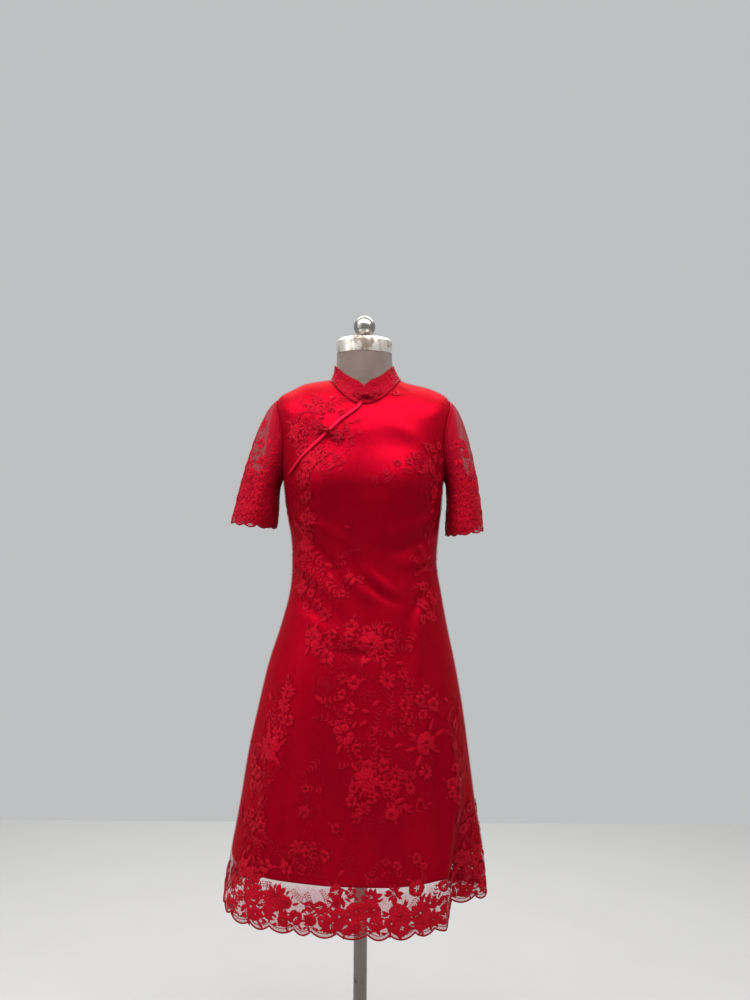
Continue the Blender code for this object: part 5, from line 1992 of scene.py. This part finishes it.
@dataclass
class BodyEmbroidery:
    """Embroidery of the front and the back, and the corded hem.

    Attributes:
        lift: metres out from the body's surface.
        border_rows: count, metres up, least and greatest size of each row of flowers at the hem.
        foot_leaves: pairs of leaves along the hem's cord on each half.
        foot_leaf_rise: metres up to them.
        foot_leaf_turn: their direction in radians, and mirrored.
        cords: metres up and radius of the hem's cord and of the finer line inside it.
    """

    body: BodySurfaces
    cut: DressCut
    wardrobe: Wardrobe
    lift: float = -0.0005
    border_rows: tuple[tuple[int, float, float, float], ...] = (
        (25, 0.0225, 0.014, 0.019), (21, 0.050, 0.012, 0.020)
    )
    foot_leaves: int = 44
    foot_leaf_rise: float = 0.0105
    foot_leaf_turn: float = 0.35
    cords: tuple[Pair, Pair] = ((0.0, 0.0016), (0.0070, 0.0007))

    def build(self) -> tuple[list[Object], list[Object]]:
        """Builds the pieces on the front and those on the back."""
        front = Stitchwork(self.body.halves[Side.FRONT], self.lift, 5)
        for motif in FRONT_MOTIFS:
            across, up = front.surface.locate(motif.x, motif.height)
            front.add(motif.kind, front.spot(across, up), motif.size, math.radians(motif.turn))
        self._edge_row(front)
        back = Stitchwork(self.body.halves[Side.BACK], self.lift, 6)
        for motif in FRONT_MOTIFS:
            across, up = back.surface.locate(-motif.x, motif.height)
            turn = math.pi - math.radians(motif.turn)
            back.add(motif.kind, back.spot(across, up), motif.size, turn)
        for zone in FRONT_ZONES:
            front.fill(zone, 1.0)
            back.fill(zone, -1.0)
        self._edge_row(back)
        stitched = front.lay("embroidery_front", self.wardrobe.stitch)
        reverse = back.lay("embroidery_back", self.wardrobe.stitch)
        return [stitched, self._hem_cord()], [reverse]

    def _edge_row(self, work: Stitchwork) -> None:
        """Two close rows of large flowers and leaves above the hem's cord."""
        top = self.body.curve.top
        for row, (count, rise, low, high) in enumerate(self.border_rows):
            for index in range(count):
                across = (index + 0.5 + work.random.uniform(-0.25, 0.25)) / count
                above = (rise + work.random.uniform(-0.003, 0.003)) / top
                spot = work.spot(across, self.cut.lace_foot(across) + above)
                turn = work.random.uniform(0.0, 2.0 * math.pi)
                if row == 1 and index % 3 == 1:
                    work.add(Kind.FERN, spot, 0.044, turn)
                    continue
                kind = BORDER_KINDS[(3 * row + index) % len(BORDER_KINDS)]
                work.add(kind, spot, work.random.uniform(low, high), turn)
        for index in range(self.foot_leaves):
            across = (index + 0.5) / self.foot_leaves
            spot = work.spot(across, self.cut.lace_foot(across) + self.foot_leaf_rise / top)
            for turn in (self.foot_leaf_turn, math.pi - self.foot_leaf_turn):
                work.leaf(spot, (0.0, 0.0), turn + work.random.uniform(-0.2, 0.2), 0.011, 0.42)

    def _hem_cord(self) -> Object:
        """The cord along the scalloped hem, once round the dress, and a finer line inside it."""
        places = np.linspace(0.0, 1.0, 420, endpoint=False)
        lines = []
        for rise, radius in self.cords:
            loops, normals = [], []
            for side, across in ((Side.FRONT, places), (Side.BACK, 1.0 - places)):
                surface = self.body.halves[side]
                foot = self.cut.lace_foot(across) + rise / self.body.curve.top
                loop, normal = surface.path(across, foot, self.lift)
                loops.append(loop)
                normals.append(normal)
            lines.append(
                tube_mesh("hem_cord", np.vstack(loops), radius, 7, 0.8, np.vstack(normals), closed=True)
            )
        cord = join_meshes("hem_cord", lines)
        return place_piece("hem_cord", cord, self.wardrobe.edge_cord)


class Rosette(NamedTuple):
    """One half of a frog: loops of cord beside its knot.

    Attributes:
        node: the node that it stands for.
        aside: metres across to its middle.
        rise: metres up to its middle.
        turn: direction away from the knot, in radians.
        lobes: number of loops.
        radius: size of the outer loops.
        stretch: length over width across the body.
    """

    node: str
    aside: float
    rise: float
    turn: float
    lobes: int
    radius: float
    stretch: float


CHEST_ROSETTES = (
    Rosette("frog_chest_left", -0.0165, 0.0060, 2.78, 3, 0.0095, 1.1),
    Rosette("frog_chest_right", 0.0184, -0.0070, -0.36, 6, 0.0112, 1.1),
)
COLLAR_ROSETTES = (
    Rosette("frog_collar_left", -0.0135, 0.001, 3.1, 3, 0.0090, 1.05),
    Rosette("frog_collar_right", 0.0225, -0.002, 0.1, 3, 0.0090, 1.50),
)


@dataclass
class Trims:
    """Piping along the slanted edge, and the two frogs."""

    body: BodySurfaces
    cut: DressCut
    collar: StandCollar
    wardrobe: Wardrobe
    cord_radius: float = 0.0011
    piping_end: float = 0.012
    piping_lift: float = 0.0013
    chest_knot: Pair = (-0.0635, 1.2925)
    chest_knot_lift: float = 0.0078
    collar_knot_aside: float = 0.003
    collar_knot_up: float = 0.31
    collar_knot_lift: float = 0.0063
    knot_radius: float = 0.0036
    knot_core: float = 0.0034
    knot_cord: float = 0.00125

    def build(self) -> tuple[list[Object], list[Object]]:
        """Builds the trims of the front and those of the collar."""
        front = self.body.halves[Side.FRONT]
        place = front.locate(*self.chest_knot)
        on_front = [self._piping(front)]
        on_front += [self._rosette(front, place, rosette) for rosette in CHEST_ROSETTES]
        knot = front.at(self.cut.slant(place[1]), place[1], self.chest_knot_lift)[0]
        on_front.append(self._knot("frog_chest_knot", knot))

        band, length = self.collar.surface, self.collar.length
        on_collar = []
        for rosette in COLLAR_ROSETTES:
            place = (rosette.aside / length % 1.0, self.collar_knot_up)
            on_collar.append(self._rosette(band, place, rosette._replace(aside=0.0)))
        knot = band.at(self.collar_knot_aside / length, self.collar_knot_up, self.collar_knot_lift)[0]
        on_collar.append(self._knot("frog_collar_knot", knot))
        return on_front, on_collar

    def _piping(self, front: ClothSurface) -> Object:
        """The piping, rounded where the slanted edge bends."""
        end = self.piping_end / self.body.curve.top
        ups = np.linspace(self.cut.low + end, 1.0 - end, 160)
        places = np.pad(self.cut.slant(ups), 6, mode="reflect", reflect_type="odd")
        places = np.convolve(places, np.full(13, 1.0 / 13.0), mode="valid")
        path, normal = front.path(places, ups, self.piping_lift)
        strip = tube_mesh("piping_cloth", path, 0.41 * PIPING_WIDTH, 16, 0.32, normal)
        return place_piece(
            "piping_cloth", strip, self.wardrobe.piping, ["placket_piping"]
        )

    def _rosette(self, surface: ClothSurface, place: Pair, rosette: Rosette) -> Object:
        """Loops of cord laid flat, three deep, with a stalk of two cords to the knot.

        Args:
            surface: what it lies on.
            place: places across and up that it is measured from.
            rosette: its sizes.

        Returns:
            The piece.
        """
        node, aside, rise, turn, lobes, radius, stretch = rosette
        wide, tall, _ = surface.scale(*place)
        turns = np.linspace(0.0, 2.0 * math.pi, 26 * lobes, endpoint=False)
        meshes = []
        for reach, height in ((1.0, 0.0018), (0.70, 0.0021), (0.40, 0.0024)):
            size = reach * radius * (0.74 + 0.26 * np.cos(lobes * (turns - turn)))
            across = place[0] + (aside + size * np.cos(turns) * stretch) / wide
            ups = np.clip(place[1] + (rise + size * np.sin(turns)) / tall, 0.0, 1.0)
            path, normal = surface.path(across % 1.0, ups, height + 0.0003 * np.cos(lobes * turns))
            meshes.append(tube_mesh(node, path, self.cord_radius, 7, 0.85, normal, closed=True))
        stalk = np.linspace(0.0, 1.0, 12)
        for offset in (-0.0012, 0.0012):
            x = aside - np.cos(turn) * radius * stretch * (0.3 + 1.0 * stalk) - np.sin(turn) * offset
            y = rise - np.sin(turn) * radius * (0.3 + 1.0 * stalk) + np.cos(turn) * offset
            ups = np.clip(place[1] + y / tall, 0.0, 1.0)
            path = surface.at((place[0] + x / wide) % 1.0, ups, 0.0030 + 0.0012 * stalk)
            meshes.append(tube_mesh(node, path, self.cord_radius, 7, 0.9))
        return place_piece(
            f"{node}_cord", join_meshes(node, meshes), self.wardrobe.frog, [node]
        )

    def _knot(self, name: str, centre: Array) -> Object:
        """A ball knot of one cord that crosses over and under itself."""
        turns = np.linspace(0.0, 2.0 * math.pi, 180, endpoint=False)
        size = self.knot_radius + 0.0005 * np.cos(10.0 * turns)
        rise = 0.95 * np.sin(5.0 * turns)
        path = centre + np.column_stack([
            1.15 * size * np.cos(3.0 * turns) * np.cos(rise),
            size * np.sin(3.0 * turns) * np.cos(rise),
            size * np.sin(rise),
        ])
        core = bmesh.new()
        layer = core.loops.layers.uv.new("cord")
        bmesh.ops.create_uvsphere(core, u_segments=20, v_segments=12, radius=self.knot_core)
        for face in core.faces:
            for loop in face.loops:
                loop[layer].uv = (loop.vert.co.x, loop.vert.co.z)
        bmesh.ops.translate(core, verts=core.verts, vec=Vector(centre))
        cord = tube_mesh(name, path, self.knot_cord, 7, closed=True)
        ball = join_meshes(name, [to_mesh(f"{name}_core", core), cord])
        return place_piece(f"{name}_cord", ball, self.wardrobe.frog, [name])


# ---- form and stand
@dataclass
class DressForm:
    """Covered torso and neck, seamed in front of the neck."""

    body: BodySurfaces
    wardrobe: Wardrobe
    columns: int = 193
    torso_rows: int = 90
    neck_rows: int = 24
    gap: float = 0.0004
    neck_start: float = 0.010
    neck_lead: float = 0.35
    seam_height: float = 1.3945
    seam_radius: float = 0.0005
    surface: ClothSurface = field(init=False)

    def prepare(self) -> None:
        """Works out the form's surface, from its underside to the neck cap."""
        low = self.body.up(FORM_BOTTOM_HEIGHT)
        share = np.linspace(0.0, 1.0, self.columns)
        rows = [self._ring(share, up) for up in np.linspace(low, 1.0, self.torso_rows)]
        rows[0][:, 2] = FORM_BOTTOM_HEIGHT
        foot = rows[-1]
        below = self._ring(share, 1.0 - self.neck_start / self.body.curve.top)
        turn = np.arctan2(foot[:, 1], foot[:, 0])
        rim = FORM_NECK_RADIUS * np.column_stack([np.cos(turn), np.sin(turn)])
        high = np.column_stack([rim, np.full(self.columns, FORM_NECK_TOP)])
        near = np.column_stack([rim, foot[:, 2] + NECK_FLARE_HEIGHT])
        leave = foot + (foot - below) * self.neck_lead
        for rise in np.linspace(0.0, 1.0, self.neck_rows + 1)[1:]:
            keep = 1.0 - rise
            rows.append(
                keep**3 * foot + 3 * keep**2 * rise * leave + 3 * keep * rise**2 * near + rise**3 * high
            )
        table = np.array(rows)
        table[:, -1] = table[:, 0]
        self.surface = ClothSurface(table, closed=True)

    def _ring(self, share: Array, up: float) -> Array:
        """One ring of the torso, from the left seam round the front."""
        ease = max(0.0, self.body.curve.at(up * self.body.curve.top).ease)
        inset = -(2.0 * CLOTH_WALL + LAYER_GAP + self.gap + ease)
        level = np.full_like(share, up)
        front = self.body.halves[Side.FRONT].at(np.clip(2.0 * share, 0.0, 1.0), level, inset)
        back = self.body.halves[Side.BACK].at(np.clip(2.0 - 2.0 * share, 0.0, 1.0), level, inset)
        return np.where((share <= 0.5)[:, None], front, back)

    def build(self) -> None:
        """Builds the jersey cover and its neck seam."""
        rows = self.torso_rows + self.neck_rows
        mesh = sheet_mesh(
            "form_cover", self.surface, 144, np.linspace(0.0, 1.0, rows), lambda up: (0.0, 1.0), 0.0,
            closed=True,
        )
        shape = bmesh.new()
        shape.from_mesh(mesh)
        bpy.data.meshes.remove(mesh)
        bmesh.ops.holes_fill(shape, edges=[edge for edge in shape.edges if edge.is_boundary], sides=0)
        bmesh.ops.recalc_face_normals(shape, faces=shape.faces)
        cover = to_mesh("form_cover", shape, 50.0)
        place_piece("form_cover", cover, self.wardrobe.jersey, ["form_body"])
        path = []
        for column in range(1, self.columns // 2):
            line = self.surface.table[self.torso_rows:, column]
            if line[0, 2] < self.seam_height:
                spot = [np.interp(self.seam_height, line[:, 2], line[:, axis]) for axis in range(3)]
                path.append(spot)
        seam = tube_mesh("neck_seam", np.array(path), self.seam_radius, 6)
        place_piece("neck_seam", seam, self.wardrobe.jersey)


@dataclass(frozen=True)
class TurnedPart:
    """One turned piece of the stand.

    Attributes:
        node: the node that it stands for.
        profile: radius and height of each corner, from the axis or round a ring.
        slot: the record's material slot; not used.
        edge: width of its rounded edges.
        closed: True for a ring, whose profile closes on itself.
    """

    node: str
    profile: tuple[Pair, ...]
    slot: str
    edge: float = 0.0006
    closed: bool = False

    def build(self, material: Material) -> None:
        """Builds the piece."""
        shape = bmesh.new()
        verts = [shape.verts.new((radius, 0.0, height)) for radius, height in self.profile]
        edges = [shape.edges.new(pair) for pair in zip(verts, verts[1:])]
        if self.closed:
            edges.append(shape.edges.new((verts[-1], verts[0])))
        bmesh.ops.spin(
            shape, geom=verts + edges, cent=(0.0, 0.0, 0.0), axis=(0.0, 0.0, 1.0),
            angle=2.0 * math.pi, steps=96, use_merge=True,
        )
        bmesh.ops.remove_doubles(shape, verts=shape.verts, dist=1e-6)
        bmesh.ops.recalc_face_normals(shape, faces=shape.faces)
        sharp = math.radians(28)
        corners = [edge for edge in shape.edges if edge.is_manifold and edge.calc_face_angle() > sharp]
        if corners:
            bmesh.ops.bevel(
                shape, geom=corners, offset=self.edge, segments=3, profile=0.5,
                affect="EDGES", material=-1, clamp_overlap=True,
            )
        mesh = to_mesh(self.node, shape, 40.0)
        place_piece(f"{self.node}_turned", mesh, material, [self.node])


def ball_profile() -> tuple[Pair, ...]:
    """Profile of the ball knob on its short stem."""
    radius, centre, stem, foot = 0.0205, 1.4980, 0.0095, 1.4743
    start = math.asin(stem * 0.8 / radius)
    steps = 40
    arc = [start + (math.pi - start) * step / steps for step in range(steps)]
    ball = [(radius * math.sin(turn), centre - radius * math.cos(turn)) for turn in arc]
    return ((0.0, foot), (stem, foot), (stem, foot + 0.0022), *ball, (0.0, centre + radius))


STAND_PARTS = (
    TurnedPart(
        "neck_cap",
        ((0.0, 1.4740), (0.0470, 1.4740), (0.0525, 1.4685), (0.0525, 1.4455), (0.0, 1.4455)),
        "worn_steel",
    ),
    TurnedPart("ball_knob", ball_profile(), "polished_steel", 0.0003),
    TurnedPart(
        "stand_flange", ((0.0, 0.7447), (0.0450, 0.7447), (0.0450, 0.7407), (0.0, 0.7407)), "polished_steel"
    ),
    TurnedPart(
        "stand_pole",
        ((0.0, 0.7404), (0.0128, 0.7404), (0.0128, 0.0083), (0.0, 0.0083)),
        "polished_steel", 0.0003,
    ),
    TurnedPart(
        "stand_socket",
        ((0.0131, 0.0433), (0.0190, 0.0433), (0.0210, 0.0413), (0.0210, 0.0083), (0.0131, 0.0083)),
        "polished_steel", 0.0003, True,
    ),
    TurnedPart(
        "stand_base",
        (
            (0.0, 0.0080), (0.1690, 0.0080), (0.1732, 0.0062),
            (0.1750, 0.0030), (0.1750, 0.0010), (0.1740, 0.0), (0.0, 0.0),
        ),
        "polished_steel", 0.0004,
    ),
)


# ---- studio
@dataclass(frozen=True)
class Studio:
    """Floor, lights and camera."""

    floor_half: float = 1.65
    eye: tuple[float, float, float] = (0.0220, -EYE_DISTANCE, EYE_HEIGHT)
    lens: float = 34.2
    roll: float = 0.394
    air: Colour = (0.52, 0.525, 0.53)
    air_strength: float = 1.0
    key_power: float = 72.0
    fill_power: float = 14.0

    def build(self) -> None:
        """Builds the studio."""
        plane = bmesh.new()
        bmesh.ops.create_grid(plane, x_segments=2, y_segments=2, size=self.floor_half)
        bmesh.ops.translate(plane, verts=plane.verts, vec=(0.0, 0.0, -0.0005))
        floor = bpy.data.objects.new("floor", to_mesh("floor", plane))
        floor.data.materials.append(FloorFinish("pale_floor", (0.53, 0.525, 0.52)).make())
        bpy.context.scene.collection.objects.link(floor)

        world = bpy.data.worlds.new("studio_air")
        world.use_nodes = True
        air = world.node_tree.nodes["Background"]
        air.inputs["Color"].default_value = (*self.air, 1.0)
        air.inputs["Strength"].default_value = self.air_strength
        bpy.context.scene.world = world
        self._light("key", (-0.06, -0.60, 2.45), (0.0, -0.10, 1.10), (3.4, 0.8), self.key_power)
        self._light("fill", (-2.15, -1.25, 1.8), (0.0, 0.0, 1.0), (1.8, 1.8), self.fill_power)
        self._light("back_key", (0.10, 0.90, 2.55), (0.0, 0.10, 1.10), (2.2, 0.8), 0.38 * self.key_power)

        camera = bpy.data.cameras.new("eye")
        camera.lens = self.lens
        camera.sensor_width = 36.0
        eye = bpy.data.objects.new("eye", camera)
        eye.location = self.eye
        eye.rotation_euler = (math.pi / 2.0, -math.radians(self.roll), 0.0)
        bpy.context.scene.collection.objects.link(eye)
        bpy.context.scene.camera = eye

    @staticmethod
    def _light(
        name: str,
        place: tuple[float, float, float],
        aim: tuple[float, float, float],
        size: Pair,
        power: float,
    ) -> None:
        """One soft panel of light."""
        light = bpy.data.lights.new(name, "AREA")
        light.shape = "RECTANGLE"
        light.size, light.size_y = size
        light.energy = power
        lamp = bpy.data.objects.new(name, light)
        lamp.location = place
        lamp.rotation_euler = (Vector(aim) - Vector(place)).to_track_quat("-Z", "Y").to_euler()
        bpy.context.scene.collection.objects.link(lamp)


def main() -> None:
    """Builds the dress, its form and stand, and the studio."""
    logging.basicConfig(level=logging.INFO, format="%(name)s: %(message)s")
    bpy.context.scene.view_settings.view_transform = "Standard"
    Studio().build()
    wardrobe = Wardrobe()
    body = BodySurfaces()
    cut = DressCut(body)

    form = DressForm(BodySurfaces(creased=False), wardrobe)
    form.prepare()
    form.build()
    finishes = {"neck_cap": wardrobe.worn_steel, "ball_knob": wardrobe.steel}
    for part in STAND_PARTS:
        part.build(finishes.get(part.node, wardrobe.pole_steel))

    panels = Panels(body, cut, wardrobe).build()
    collar = StandCollar()
    collar.prepare(body)
    collar_cloth, collar_trims = collar.build(wardrobe)
    on_front, on_back = BodyEmbroidery(body, cut, wardrobe).build()
    front_trims, frog_trims = Trims(body, cut, collar, wardrobe).build()
    for sleeve in SLEEVES:
        sleeve.prepare(body, cut)
        cloth, trims = sleeve.build(wardrobe)


def plain(box: Iterable[Iterable[float]]) -> list[list[float]]:
    """A box's corners as lists of numbers."""
    return [[float(value) for value in corner] for corner in box]


if __name__ == "__main__":
    main()
